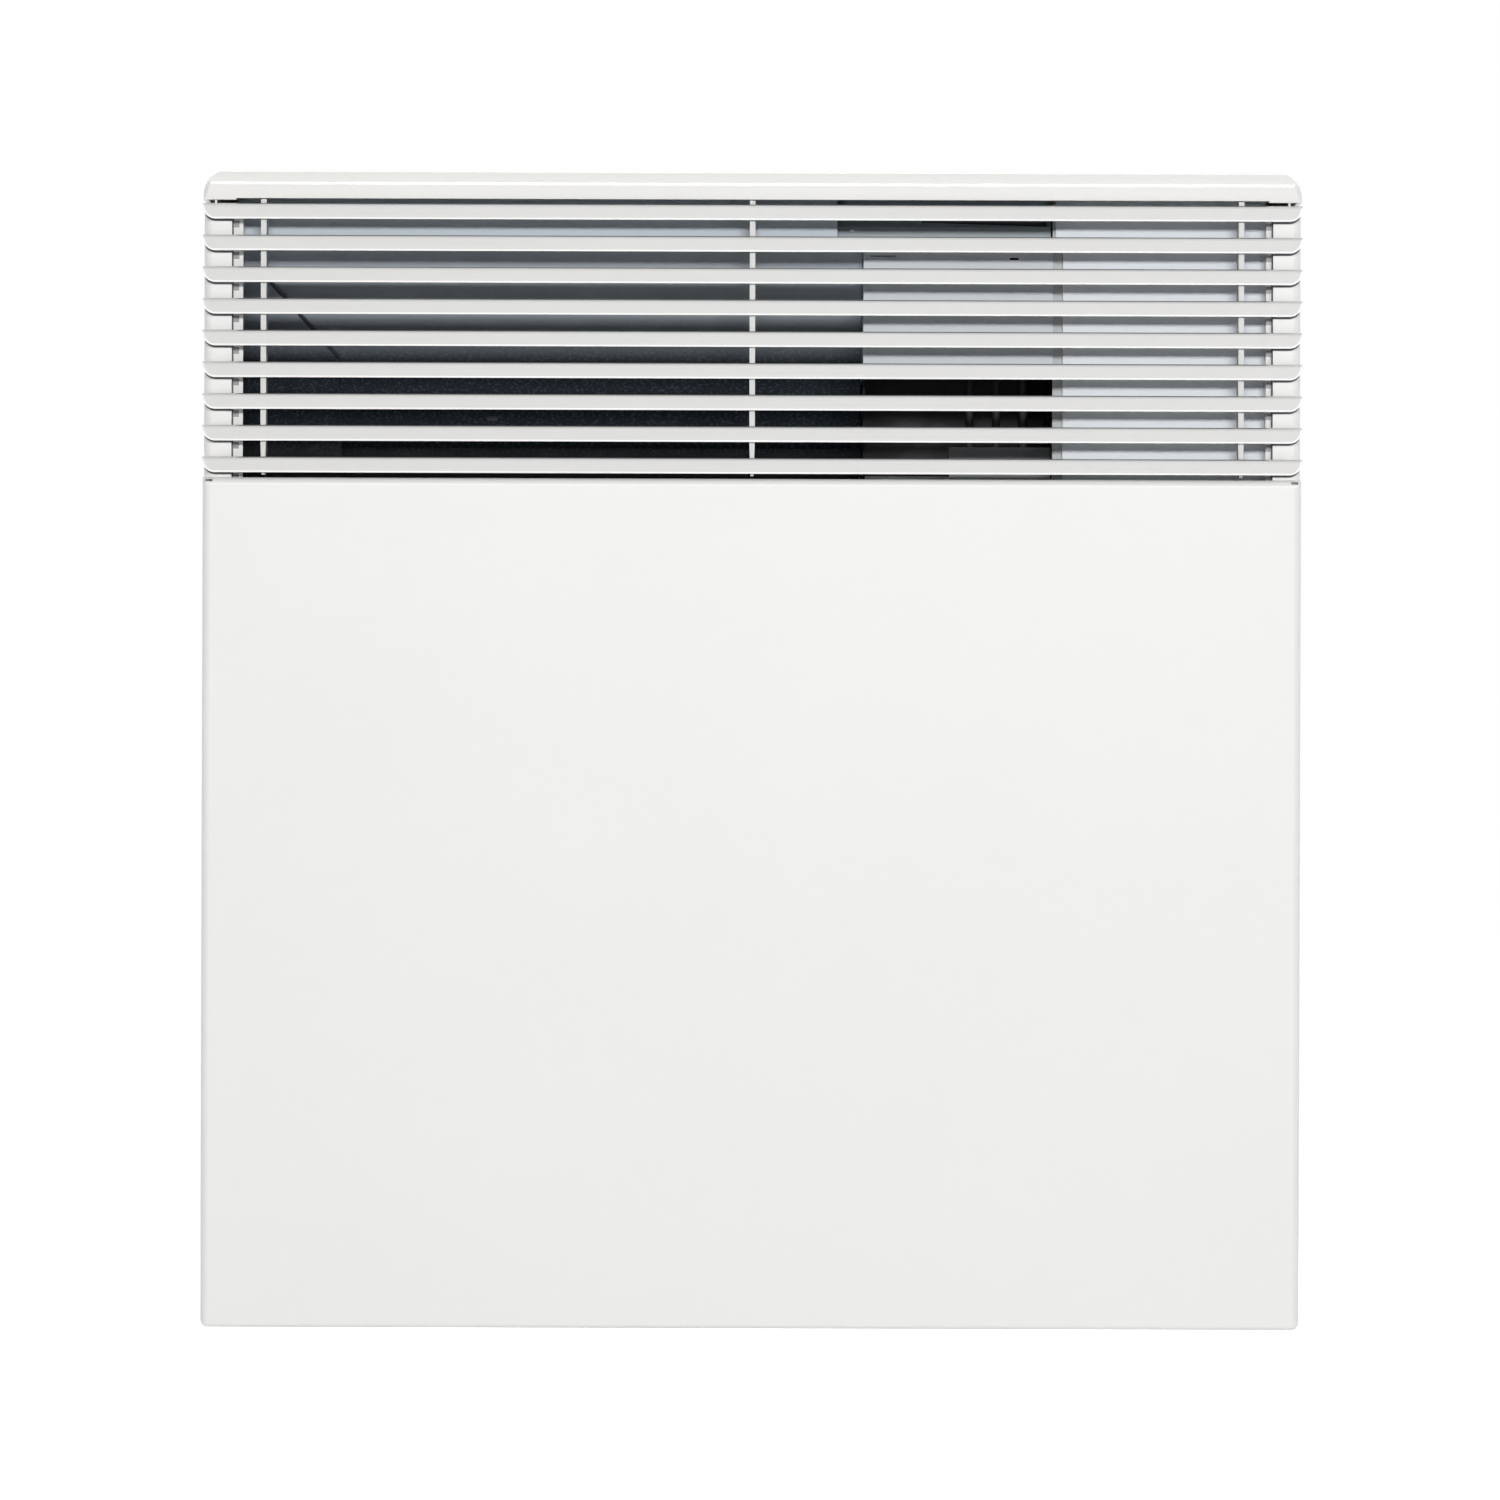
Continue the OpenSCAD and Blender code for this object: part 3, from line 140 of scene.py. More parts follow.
world = bpy.data.worlds.new("studio_sky")
bpy.context.scene.world = world
world.use_nodes = True
sky = world.node_tree
sky.nodes.clear()
seen = sky.nodes.new("ShaderNodeBackground")
seen.inputs["Color"].default_value = (1, 1, 1, 1)
seen.inputs["Strength"].default_value = 1
lit = sky.nodes.new("ShaderNodeBackground")
lit.inputs["Color"].default_value = SKY_TINT
lit.inputs["Strength"].default_value = SKY_LEVEL
path = sky.nodes.new("ShaderNodeLightPath")
chosen = sky.nodes.new("ShaderNodeMixShader")
sky_out = sky.nodes.new("ShaderNodeOutputWorld")
either = path.outputs["Is Camera Ray"]
for ray in ("Is Transmission Ray", "Is Glossy Ray"):
    larger = sky.nodes.new("ShaderNodeMath")
    larger.operation = "MAXIMUM"
    sky.links.new(either, larger.inputs[0])
    sky.links.new(path.outputs[ray], larger.inputs[1])
    either = larger.outputs[0]
sky.links.new(either, chosen.inputs["Fac"])
sky.links.new(lit.outputs[0], chosen.inputs[1])
sky.links.new(seen.outputs[0], chosen.inputs[2])
sky.links.new(chosen.outputs[0], sky_out.inputs["Surface"])
bpy.context.scene.view_settings.view_transform = "Standard"
print("sky level:", SKY_LEVEL)

# %% [markdown]
# ## Wiring materials
# A finish is a small network of nodes. Written as Python expressions it stays readable, so
# one class wraps an output socket and makes the Math nodes when two of them are added or
# multiplied, and another adds any node that is asked for.

# %% Two small classes for shader nodes
class Signal:
    """An output socket of a finish, which can be used in sums."""

    def __init__(self, finish, socket):
        self.finish = finish
        self.socket = socket

    def __add__(self, other):
        return self.finish.math("ADD", self, other)

    def __sub__(self, other):
        return self.finish.math("SUBTRACT", self, other)

    def __rsub__(self, other):
        return self.finish.math("SUBTRACT", other, self)

    def __mul__(self, other):
        return self.finish.math("MULTIPLY", self, other)

    __radd__ = __add__
    __rmul__ = __mul__


class Finish:
    """A material on its way. One method adds any node to it, another a Math node."""

    def __init__(self, name):
        self.material = bpy.data.materials.new(name)
        self.material.use_nodes = True
        self.tree = self.material.node_tree
        self.shader = self.tree.nodes["Principled BSDF"]

    def plug(self, socket, value):
        if isinstance(value, Signal):
            self.tree.links.new(value.socket, socket)
        elif hasattr(value, "__len__") and len(value) == 3 and socket.type == "RGBA":
            socket.default_value = (*value, 1)
        else:
            socket.default_value = value

    def add(self, kind, settings=None, inputs=None, out=0):
        made = self.tree.nodes.new("ShaderNode" + kind)
        for name, value in (settings or {}).items():
            setattr(made, name, value)
        for key, value in (inputs or {}).items():
            self.plug(made.inputs[key], value)
        return Signal(self, made.outputs[out])

    def math(self, operation, *values):
        return self.add("Math", {"operation": operation}, dict(enumerate(values)))

    def set(self, **values):
        for name, value in values.items():
            self.plug(self.shader.inputs[name.replace("_", " ")], value)
        return self.material


print("classes ready:", Signal.__name__, "and", Finish.__name__)

# %% [markdown]
# Most finishes share three things: a place on the piece, a soft random pattern read at that
# place, and a way to stretch part of that pattern to the full range, or to let it fade.
# Colours are mixed with a Mix node, because a Math node would turn them grey.

# %% Helpers that every finish uses
def place_on(finish):
    return finish.add("TexCoord", out="Object")


def axes(finish):
    """The place on the piece as three signals: across, depth and height."""
    split = finish.add("SeparateXYZ", None, {"Vector": place_on(finish)}).socket.node
    return [Signal(finish, split.outputs[axis]) for axis in "XYZ"]


def noise(finish, size, detail, stretch=(1, 1, 1)):
    """Soft noise whose blobs are about size metres across."""
    at = finish.add("Mapping", None, {"Vector": place_on(finish), "Scale": stretch})
    return finish.add("TexNoise", None, {"Vector": at, "Scale": 1 / size, "Detail": detail})


def ramp(finish, value, low, high, out_low=0.0, out_high=1.0):
    """Stretches the part from low to high over out_low to out_high."""
    ends = {"From Min": low, "From Max": high, "To Min": out_low, "To Max": out_high}
    return finish.add("MapRange", None, {"Value": value, **ends})


def fade(finish, value, low, high):
    """1 below low, 0 above high."""
    return ramp(finish, value, low, high, 1.0, 0.0)


def mixed(finish, share, first, second):
    """The first colour where share is 0, the second where it is 1."""
    return finish.add("Mix", {"data_type": "RGBA"}, {0: share, 6: first, 7: second}, out=2)


def bumps(finish, height, depth, strength):
    return finish.add("Bump", None, {"Height": height, "Distance": depth, "Strength": strength})


def shade(colour, factor):
    return tuple(min(1.0, part * factor) for part in colour)


# most of a noise lies between these values, and its soft middle between the next two
NOISE_SPAN = (0.3, 0.7)
NOISE_MIDDLE = (0.35, 0.65)
print("helpers ready")

# %% [markdown]
# ## Powder coat
# The casing and the louvres are steel under a baked powder. Close up it has the fine dimples
# of orange peel, and over a hand's width the sheet is very slightly wavy. In the mesh this
# would need millions of faces, so both are bumps, one of a millimetre and one of ten
# centimetres, and the colour drifts a little with the second.
#
# On the blades a whiter rim along the cut lower edge and round its corners is a painted
# highlight, and a dark line on the bend at the top is painted shade, as is the darker flange
# behind it. All are found from the place on a blade: how far a point is from the rounded
# edge, and how deep it lies behind the face.

# %% Where a point lies on a blade
BLADE_PITCH = 12.05 * MM
BLADE_CORNER_R = 4.8 * MM
RIM_W = 0.5 * MM
BEND_DEPTH = 1.5 * MM
PANEL_GAP = 1.8 * MM
LINE_W = 0.45 * MM
# where the painted shade at the top of each post step begins, and its width
POST_SHADE_RISE = 9.3 * MM
POST_SHADE_W = 2.5 * MM
POST_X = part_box("end_post_right")[0].x
STRIP_X = HALF_W - 10.7 * MM
STRIP_Y = FRONT_Y + 4.5 * MM
# painted highlight along the blades' lower edges
RIM_HIGHLIGHT = (0.98, 0.97, 0.95)
# painted shade on the blades' top bends
BEND_SHADE = (0.12, 0.125, 0.13)
# painted shade on the flanges behind the blades
FLANGE_SHADE = (0.24, 0.24, 0.235)
# painted shadow round the blades' ends on the strips, and painted shade on the posts
GAP_SHADE = (0.10, 0.11, 0.12)
# painted highlight on the panel's top bend
BEND_HIGHLIGHT = (0.98, 0.98, 0.97)

grille = frame["nodes"]["outlet_grille"]
BLADE_LOW_Z = min(v.co.z for v in grille.data.vertices if abs(v.co.y - FRONT_Y) < 0.01 * MM)
PANEL_TOP_Z = BLADE_LOW_Z - PANEL_GAP
# the rise above a blade's edge is a remainder, so on other pieces it starts a few blades lower
FEW_BLADES = 4 * BLADE_PITCH
print("lowest blade edge at", round(BLADE_LOW_Z, 4))

# %% [markdown]
# Each mark is a share between 0 and 1 and a paint, which the powder coat lays over its colour.
# Most of the marks are painted light and shade. The nine blades share one pattern, because the
# height above a blade's edge is the remainder of a division by their pitch. The same rise places
# the painted shadow lines round the blades' ends on the strips beside them, and the painted
# shade at the top of each step of the posts.

# %% The marks on blades, strips and posts
def on_blade(finish, start_z):
    """How far a point is from the middle, its depth, its height, and its rise over an edge."""
    across, depth, height = axes(finish)
    away = finish.math("ABSOLUTE", across)
    rise = finish.math("MODULO", height - start_z, BLADE_PITCH)
    return away, depth, height, rise


def corner_reach(finish, away, drop):
    """The distance from the centre of a blade's rounded lower corner."""
    side = finish.math("MAXIMUM", away - (HALF_W - BLADE_CORNER_R), 0.0)
    return finish.math("SQRT", side * side + drop * drop)


def blade_marks(finish):
    """A painted highlight on the whiter rim, and painted shade on the bend and on the flange behind
    it.
    """
    away, depth, _, rise = on_blade(finish, BLADE_LOW_Z)
    drop = finish.math("MAXIMUM", BLADE_CORNER_R - rise, 0.0)
    from_edge = BLADE_CORNER_R - corner_reach(finish, away, drop)
    on_face = fade(finish, depth, FRONT_Y + 0.1 * MM, FRONT_Y + 0.3 * MM)
    # the rim is a painted highlight
    rim = fade(finish, from_edge, RIM_W, 1.6 * RIM_W) * on_face
    # painted shade on the bend at the top
    past_face = ramp(finish, depth, FRONT_Y + 0.35 * MM, FRONT_Y + 0.5 * MM)
    dust_and_shade = past_face * fade(finish, depth, FRONT_Y + BEND_DEPTH, FRONT_Y + 1.3 * BEND_DEPTH)
    inside = fade(finish, away, POST_X - 1 * MM, POST_X + 1 * MM)
    # painted shade on the flange behind the bend
    behind = ramp(finish, depth, FRONT_Y + 1.8 * BEND_DEPTH, FRONT_Y + 2.4 * BEND_DEPTH)
    return (
        (rim, RIM_HIGHLIGHT),
        (dust_and_shade * inside * 0.85, BEND_SHADE),
        (behind * inside * 0.6, FLANGE_SHADE),
    )


def strip_marks(finish):
    """A painted shadow line round each blade's end on the strips, and a painted highlight on the
    panel's bend.
    """
    away, depth, height, rise = on_blade(finish, BLADE_LOW_Z - FEW_BLADES)
    below = finish.math("MODULO", rise + (BLADE_PITCH - BLADE_CORNER_R), BLADE_PITCH)
    drop = BLADE_PITCH - below
    reach = corner_reach(finish, away, drop) - BLADE_CORNER_R
    # painted shadow line round a blade's end
    line = fade(finish, reach, 0.9 * LINE_W, 1.5 * LINE_W)
    on_strip = ramp(finish, depth, STRIP_Y - 1.5 * MM, STRIP_Y - 0.5 * MM)
    on_strip = on_strip * fade(finish, depth, STRIP_Y + 1 * MM, STRIP_Y + 2 * MM)
    near = fade(finish, drop, 1.2 * BLADE_CORNER_R, 1.4 * BLADE_CORNER_R)
    above = ramp(finish, height, BLADE_LOW_Z - 1 * MM, BLADE_LOW_Z - 0.8 * MM)
    on_front = fade(finish, depth, FRONT_Y + 0.5 * MM, FRONT_Y + 1 * MM)
    below_top = PANEL_TOP_Z - height
    # painted highlight on the panel's top bend
    bend = ramp(finish, below_top, 2.0 * MM, 2.3 * MM)
    bend = bend * fade(finish, below_top, 2.7 * MM, 3.2 * MM)
    return (line * on_strip * near * above, GAP_SHADE), (bend * on_front * 0.8, BEND_HIGHLIGHT)


def post_marks(finish):
    """Painted shade at the top of each step of an end post, and a painted shadow along its outer
    edge.
    """
    away, _, _, rise = on_blade(finish, BLADE_LOW_Z - FEW_BLADES)
    # painted shadow along the post's outer edge
    edge = ramp(finish, away, STRIP_X - 0.45 * MM, STRIP_X - 0.25 * MM)
    # painted shade at the top of each step of the post
    slot = ramp(finish, rise, POST_SHADE_RISE, POST_SHADE_RISE + 0.2 * MM)
    post_shade_x = STRIP_X - POST_SHADE_W
    slot = slot * ramp(finish, away, post_shade_x - 0.1 * MM, post_shade_x + 0.1 * MM)
    return ((finish.math("MAXIMUM", edge, slot * 0.7), GAP_SHADE),)


print("marks for blades, strips and posts ready")

# %% [markdown]
# The coat itself is one function, so that the panel, the posts and the louvres differ only in
# colour, gloss, waves and marks. Its drift and its specks are faint, because more of them would
# look like dirt.

# %% Powder coat
def powder_coat(name, colour, roughness, wave, coat, marks):
    """Baked paint with dimples and slow waves, and the marks that lie on one kind of piece."""
    finish = Finish(name)
    peel = noise(finish, 1.3 * MM, 3)
    sheet = noise(finish, 110 * MM, 1)
    dust_and_shade = noise(finish, 0.5 * MM, 4)
    drift = ramp(finish, sheet, *NOISE_MIDDLE)
    base = mixed(finish, drift, shade(colour, 0.995), shade(colour, 1.005))
    speck = ramp(finish, dust_and_shade, 0.68, 0.76, 0.0, 0.04)
    base = mixed(finish, speck, base, shade(colour, 0.6))
    for share, paint in marks(finish):
        base = mixed(finish, share, base, paint)
    height = peel * 0.5 + sheet * wave
    return finish.set(
        Base_Color=base,
        Coat_Weight=coat,
        Coat_Roughness=0.3,
        Roughness=ramp(finish, peel, *NOISE_SPAN, roughness - 0.04, roughness + 0.05),
        Normal=bumps(finish, height, 0.05 * MM, 0.3),
        Specular_IOR_Level=0.4,
    )


WHITE_PAINT = (0.865, 0.860, 0.845)
LOUVRE_PAINT = (0.704, 0.698, 0.684)
casing_paint = powder_coat("casing_paint", WHITE_PAINT, 0.55, 2, 0.15, strip_marks)
post_paint = powder_coat("post_paint", WHITE_PAINT, 0.55, 2, 0.15, post_marks)
louvre_paint = powder_coat("louvre_paint", LOUVRE_PAINT, 0.48, 1, 0.0, blade_marks)
print("powder coats: 3")

# %% [markdown]
# ## Zinc-coated sheet
# Every sheet inside the casing is bare galvanised steel. Its zinc grows in flat crystals, the
# spangle, which catch the light one by one, and the rolling leaves a faint grain. Voronoi
# cells give each crystal its own shade and its own roughness, and long thin noise the grain.
# Both are patterns in space, so they keep their size on every sheet, however it is folded.

# %% Zinc-coated sheet
# painted shade: the dark colours of sheets deep in the casing, and black where no light reaches
DEEP_SHADE = ((0.028, 0.036, 0.046), (0.070, 0.085, 0.103))
BLACK = ((0.008, 0.009, 0.010), (0.012, 0.013, 0.014))


def zinc_sheet(
    name,
    colour,
    cell,
    roughness,
    metal,
    tint,
    calm=1.0,
    shine=0.5,
    shaded_span=None,
    axis="Z",
    shade_paint=DEEP_SHADE,
    black_z=None,
):
    """Spangled zinc, which may darken with painted shade along one axis, and go black below a
    height, also as painted shade.

    A low calm hides the spangle. The painted shade starts at the first of its two places along
    the axis and is full at the second.
    """
    finish = Finish(name)
    cells = {"Vector": place_on(finish), "Scale": 1 / cell}
    crystal = finish.add("TexVoronoi", {"feature": "F1"}, cells, out="Color")
    level = finish.add("SeparateColor", None, {"Color": crystal})
    grain = noise(finish, 0.8 * MM, 3, (1, 1, 0.06))
    stain = noise(finish, 45 * MM, 3)
    cool = tuple(min(1.0, a * b) for a, b in zip(colour, tint))
    base = mixed(finish, ramp(finish, level, 0, 1), shade(cool, 1 - 0.12 * calm), cool)
    stained = ramp(finish, stain, 0.5, 0.75, 0.0, 0.25 * calm)
    base = mixed(finish, stained, base, shade(colour, 0.8))
    wear = ramp(finish, level, 0, 1, roughness - 0.05, roughness + 0.06)
    # painted shade: darker along one axis, and black below a height
    if shaded_span:
        along = axes(finish)["XYZ".index(axis)]
        speck = noise(finish, 1.1 * MM, 3)
        shade_colour = mixed(finish, ramp(finish, speck, 0.5, 0.68), *shade_paint)
        base = mixed(finish, ramp(finish, along, *shaded_span), base, shade_colour)
        if black_z:
            black_shade = ramp(finish, along, black_z + 3 * MM, black_z - 3 * MM)
            base = mixed(finish, black_shade, base, BLACK[0])
    return finish.set(
        Base_Color=base,
        Metallic=metal,
        Roughness=wear + grain * 0.06,
        Specular_IOR_Level=shine,
        Normal=bumps(finish, grain * 0.4 + level * 0.3, 0.03 * MM, 0.5 * calm),
    )


# the first colours of the painted shade and of the black
print("soot and black:", DEEP_SHADE[0], BLACK[0])

# %% [markdown]
# The sheets that show between the blades are dull and nearly without shine, because a bright
# reflection would hide the blades' shadows. The deflector and the corner sheet darken downwards
# with painted shade, and turn black lower down. The shield is open below its edge, and its lower
# part is painted black as shade, like the inside of the casing. The partition is pale on its
# narrow front flange only, and painted black as shade behind it, as the back panel is on its
# inside. The terminal bracket's darker sheet is painted shade as well.

# %% Sheets behind the blades, back and bracket
SEEN = {
    "cell": 5 * MM,
    "roughness": 0.55,
    "metal": 0.03,
    "tint": (0.95, 0.985, 1.02),
    "calm": 0.3,
    "shine": 0.12,
}
NEUTRAL = (0.98, 0.99, 1.0)
WINDOW_Z = TOP_Z - 76.3 * MM
PARTITION_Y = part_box("partition")[0].y
BACK_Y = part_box("bracket_rail_left")[1].y - 18 * MM

inner_sheet = zinc_sheet("inner_sheet", (0.95, 0.96, 0.97), **SEEN)
# painted shade: black below the window's edge
shield_sheet = zinc_sheet(
    "shield_sheet",
    (0.76, 0.77, 0.78),
    **SEEN,
    shaded_span=(WINDOW_Z + 0.1 * MM, WINDOW_Z - 0.2 * MM),
    shade_paint=BLACK,
)
# painted shade: black behind the front flange
partition_sheet = zinc_sheet(
    "partition_sheet",
    (0.62, 0.61, 0.595),
    **SEEN,
    shaded_span=(PARTITION_Y + 1.1 * MM, PARTITION_Y + 2.5 * MM),
    axis="Y",
    shade_paint=BLACK,
)
# painted shade: a darker copy of the sheet, for the terminal bracket
shaded_sheet = zinc_sheet("shaded_sheet", (0.42, 0.42, 0.42), **SEEN)
# painted shade: darker downwards, then black
duct_sheet = zinc_sheet(
    "duct_sheet",
    (0.68, 0.72, 0.76),
    **SEEN,
    shaded_span=(TOP_Z - 38 * MM, TOP_Z - 70 * MM),
    black_z=TOP_Z - 102 * MM,
)
# painted shade: black on the inside face
back_sheet = zinc_sheet(
    "back_sheet",
    (0.60, 0.605, 0.61),
    cell=9 * MM,
    roughness=0.45,
    metal=0.6,
    tint=NEUTRAL,
    shaded_span=(BACK_Y - 0.3 * MM, BACK_Y - 0.5 * MM),
    axis="Y",
    shade_paint=BLACK,
)
bracket_steel = zinc_sheet(
    "bracket_steel",
    (0.58, 0.585, 0.59),
    cell=7 * MM,
    roughness=0.38,
    metal=0.9,
    tint=NEUTRAL,
)
print("zinc finishes: 7")

# %% [markdown]
# ## Plastics
# The hood is a moulding with a soft gloss that matches the paint. The control panel, the knobs
# and the small carriers are matt, with the fine grain that an eroded mould leaves on them. A
# mould never fills quite evenly, so each colour carries a slow drift. One function makes them
# all, and the hood turns most of its wear off, because a broad smooth face shows every speck.

# %% Moulded plastics
def moulding(name, colour, roughness, grain, coat=0.0, dents=0.35, worn=1.0):
    """Plastic with the grain of its mould, a slow drift of colour and a few paler scuffs."""
    finish = Finish(name)
    skin = noise(finish, grain, 3)
    flow = ramp(finish, noise(finish, 40 * MM, 2), *NOISE_MIDDLE)
    base = mixed(finish, flow, shade(colour, 1 - 0.04 * worn), shade(colour, 1 + 0.03 * worn))
    scuffs = ramp(finish, noise(finish, 6 * MM, 5, (1, 0.2, 1)), 0.62, 0.8, 0.0, 0.12 * worn)
    return finish.set(
        Base_Color=mixed(finish, scuffs, base, shade(colour, 1.25)),
        Roughness=ramp(finish, skin, *NOISE_SPAN, roughness - 0.05, roughness + 0.05),
        Coat_Weight=coat,
        Coat_Roughness=0.06,
        Normal=bumps(finish, skin, 0.03 * MM, dents),
    )


HOOD_LOOK = {"coat": 0.3, "dents": 0.0, "worn": 0.15}
hood_plastic = moulding("hood_plastic", (0.825, 0.816, 0.794), 0.55, 0.5 * MM, **HOOD_LOOK)
# painted shade: black for the leads, the clip's feet and the flap, which lie in deep shade
painted_shade_black = moulding("painted_shade_black", (0.010, 0.011, 0.012), 0.7, 0.5 * MM)
control_plastic = moulding("control_plastic", (0.27, 0.32, 0.35), 0.45, 0.5 * MM)
knob_plastic = moulding("knob_plastic", (0.78, 0.78, 0.76), 0.42, 0.5 * MM)
dark_plastic = moulding("dark_plastic", (0.045, 0.05, 0.06), 0.4, 0.5 * MM)
pale_plastic = moulding("pale_plastic", (0.78, 0.77, 0.72), 0.5, 0.6 * MM)
lead_sleeve = moulding("lead_sleeve", (0.72, 0.71, 0.66), 0.7, 0.4 * MM)
clip_black = moulding("clip_black", (0.10, 0.11, 0.12), 0.4, 0.5 * MM)
print("mouldings: 8")

# %% [markdown]
# ## The hot parts
# The fins are extruded aluminium with fine die lines along them. The rod inside is steel that
# has been hot: brown with oxide over most of its length, and grey towards its cool ends. The
# colour follows the distance from the rod's middle, with a little noise so that the change has
# no hard edge. The bushes are unglazed ceramic with a few dark grains.

# %% Aluminium, heated steel and ceramic
def extruded_aluminium():
    finish = Finish("element_aluminium")
    lines = noise(finish, 0.5 * MM, 3, (0.02, 1, 1))
    haze = noise(finish, 20 * MM, 3)
    base = mixed(finish, ramp(finish, haze, 0.35, 0.7), (0.62, 0.63, 0.65), (0.74, 0.74, 0.74))
    return finish.set(
        Base_Color=base,
        Metallic=1.0,
        Roughness=ramp(finish, lines, *NOISE_SPAN, 0.36, 0.5),
        Normal=bumps(finish, lines, 0.05 * MM, 0.4),
    )


def heated_steel():
    finish = Finish("rod_steel")
    low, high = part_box("heater_rod")
    centre = (low.x + high.x) / 2
    half = (high.x - low.x) / 2
    away = finish.math("ABSOLUTE", axes(finish)[0] - centre)
    heat = ramp(finish, away + noise(finish, 6 * MM, 2) * (3 * MM), half - 16 * MM, half)
    base = mixed(finish, heat, (0.30, 0.24, 0.18), (0.52, 0.52, 0.52))
    return finish.set(Base_Color=base, Metallic=1.0, Roughness=ramp(finish, heat, 0, 1, 0.5, 0.34))


def bare_ceramic():
    finish = Finish("ceramic")
    grains = ramp(finish, noise(finish, 0.5 * MM, 4), 0.62, 0.7, 0.0, 0.5)
    base = mixed(finish, grains, (0.84, 0.81, 0.73), (0.45, 0.40, 0.33))
    return finish.set(Base_Color=base, Roughness=0.75, Normal=bumps(finish, grains, 0.03 * MM, 0.3))


element_aluminium = extruded_aluminium()
rod_steel = heated_steel()
ceramic = bare_ceramic()
print("hot parts:", element_aluminium.name, rod_steel.name, ceramic.name)

# %% [markdown]
# ## The last few finishes
# The circuit board has copper tracks under its green mask, which follow the edges of Voronoi
# cells, because those branch as tracks do. The lamp's lens is glossy amber, and the screws are
# zinc-plated with fine turning marks.

# %% Circuit board, lens and screws
def masked_board():
    finish = Finish("board")
    cells = {"Vector": place_on(finish), "Scale": 1 / (3 * MM)}
    edges = finish.add("TexVoronoi", {"feature": "DISTANCE_TO_EDGE"}, cells)
    track = fade(finish, edges, 0.05, 0.09)
    base = mixed(finish, track, (0.03, 0.15, 0.06), (0.08, 0.28, 0.11))
    return finish.set(Base_Color=base, Roughness=0.3, Normal=bumps(finish, track, 0.03 * MM, 0.5))


def amber_lens():
    finish = Finish("lens")
    facets = noise(finish, 0.8 * MM, 1)
    base = mixed(finish, facets, (0.80, 0.30, 0.03), (0.95, 0.48, 0.08))
    return finish.set(
        Base_Color=base,
        Roughness=0.12,
        Coat_Weight=0.5,
        Normal=bumps(finish, facets, 0.05 * MM, 0.3),
    )


def plated_screw():
    finish = Finish("screw_steel")
    turning = noise(finish, 0.25 * MM, 2)
    marks = ramp(finish, turning, *NOISE_SPAN)
    base = mixed(finish, marks, (0.52, 0.53, 0.54), (0.66, 0.67, 0.68))
    wear = ramp(finish, turning, *NOISE_SPAN, 0.28, 0.4)
    return finish.set(Base_Color=base, Metallic=1.0, Roughness=wear)


board = masked_board()
lens_glass = amber_lens()
screw_steel = plated_screw()
print("last finishes:", board.name, lens_glass.name, screw_steel.name)

# %% [markdown]
# ## Dressing the CAD nodes
# The record names a material slot for every node, so the finishes are handed out by slot. A
# few nodes share a slot but not a look, and get a finish of their own afterwards.

# %% Give every CAD node its finish
FINISHES = {
    "casing_paint": casing_paint,
    "louvre_paint": louvre_paint,
    "hood_plastic": hood_plastic,
    "inner_sheet": inner_sheet,
    "back_sheet": back_sheet,
    "bracket_steel": bracket_steel,
    "element_aluminium": element_aluminium,
    "rod_steel": rod_steel,
    "ceramic": ceramic,
    "control_plastic": control_plastic,
    "knob_plastic": knob_plastic,
    "dark_plastic": dark_plastic,
    "pale_plastic": pale_plastic,
    "board": board,
    "lens": lens_glass,
    "lead_sleeve": lead_sleeve,
    "screw_steel": screw_steel,
}


def dress(piece, finish):
    """Puts one finish on a whole piece."""
    if not piece.material_slots:
        piece.data.materials.append(finish)
    for slot in piece.material_slots:
        slot.material = finish


OWN_LOOK = {
    "air_deflector": duct_sheet,
    "duct_corner_plate": duct_sheet,
    "end_post_left": post_paint,
    "end_post_right": post_paint,
    "control_shield": shield_sheet,
    "partition": partition_sheet,
    "terminal_bracket": shaded_sheet,
    "terminal_block": dark_plastic,
    # painted shade: the leads are black
    "control_leads": painted_shade_black,
}
for part in frame["record"]["subparts"]:
    dress(frame["nodes"][part["node"]], FINISHES[part["material_slot"]])
for node, finish in OWN_LOOK.items():
    dress(frame["nodes"][node], finish)

# %% [markdown]
# ## Modelling the small parts
# What is too fine for the CAD model is modelled here with Blender's own tools. Nearly every
# part starts as a block or a rod at its own size and place. Then faces or edges are picked by
# where they lie or which way they look, and are inset, extruded, bevelled or cut. The helpers
# below hold the steps that the parts share.

# %% Start from a block or a rod
def rest():
    """Back to object mode, with nothing selected."""
    if bpy.context.mode != "OBJECT":
        bpy.ops.object.mode_set(mode="OBJECT")
    bpy.ops.object.select_all(action="DESELECT")


def start(name, kind, at, turn=(0, 0, 0), stretch=(1, 1, 1), **settings):
    """A primitive whose place, turn and size are settled in its mesh."""
    rest()
    getattr(bpy.ops.mesh, f"primitive_{kind}_add")(location=at, rotation=turn, **settings)
    piece = bpy.context.active_object
    piece.name = piece.data.name = name
    piece.scale = stretch
    bpy.ops.object.transform_apply(location=True, rotation=True, scale=True)
    return piece


def block(name, low, high):
    low, high = Vector(low), Vector(high)
    return start(name, "cube", (low + high) / 2, stretch=high - low, size=1)


def rod(name, at, along, radius, length, sides=32):
    turn = Vector(along).to_track_quat("Z", "Y").to_euler()
    return start(name, "cylinder", at, turn, radius=radius, depth=length, vertices=sides)


print("starting shapes: block and rod")

# %% [markdown]
# An edit-mode operator acts on all that is selected. By hand the faces would be clicked, and
# here a test picks them instead, so that the choice still holds when a size changes.

# %% Choose faces and shape them
import bmesh


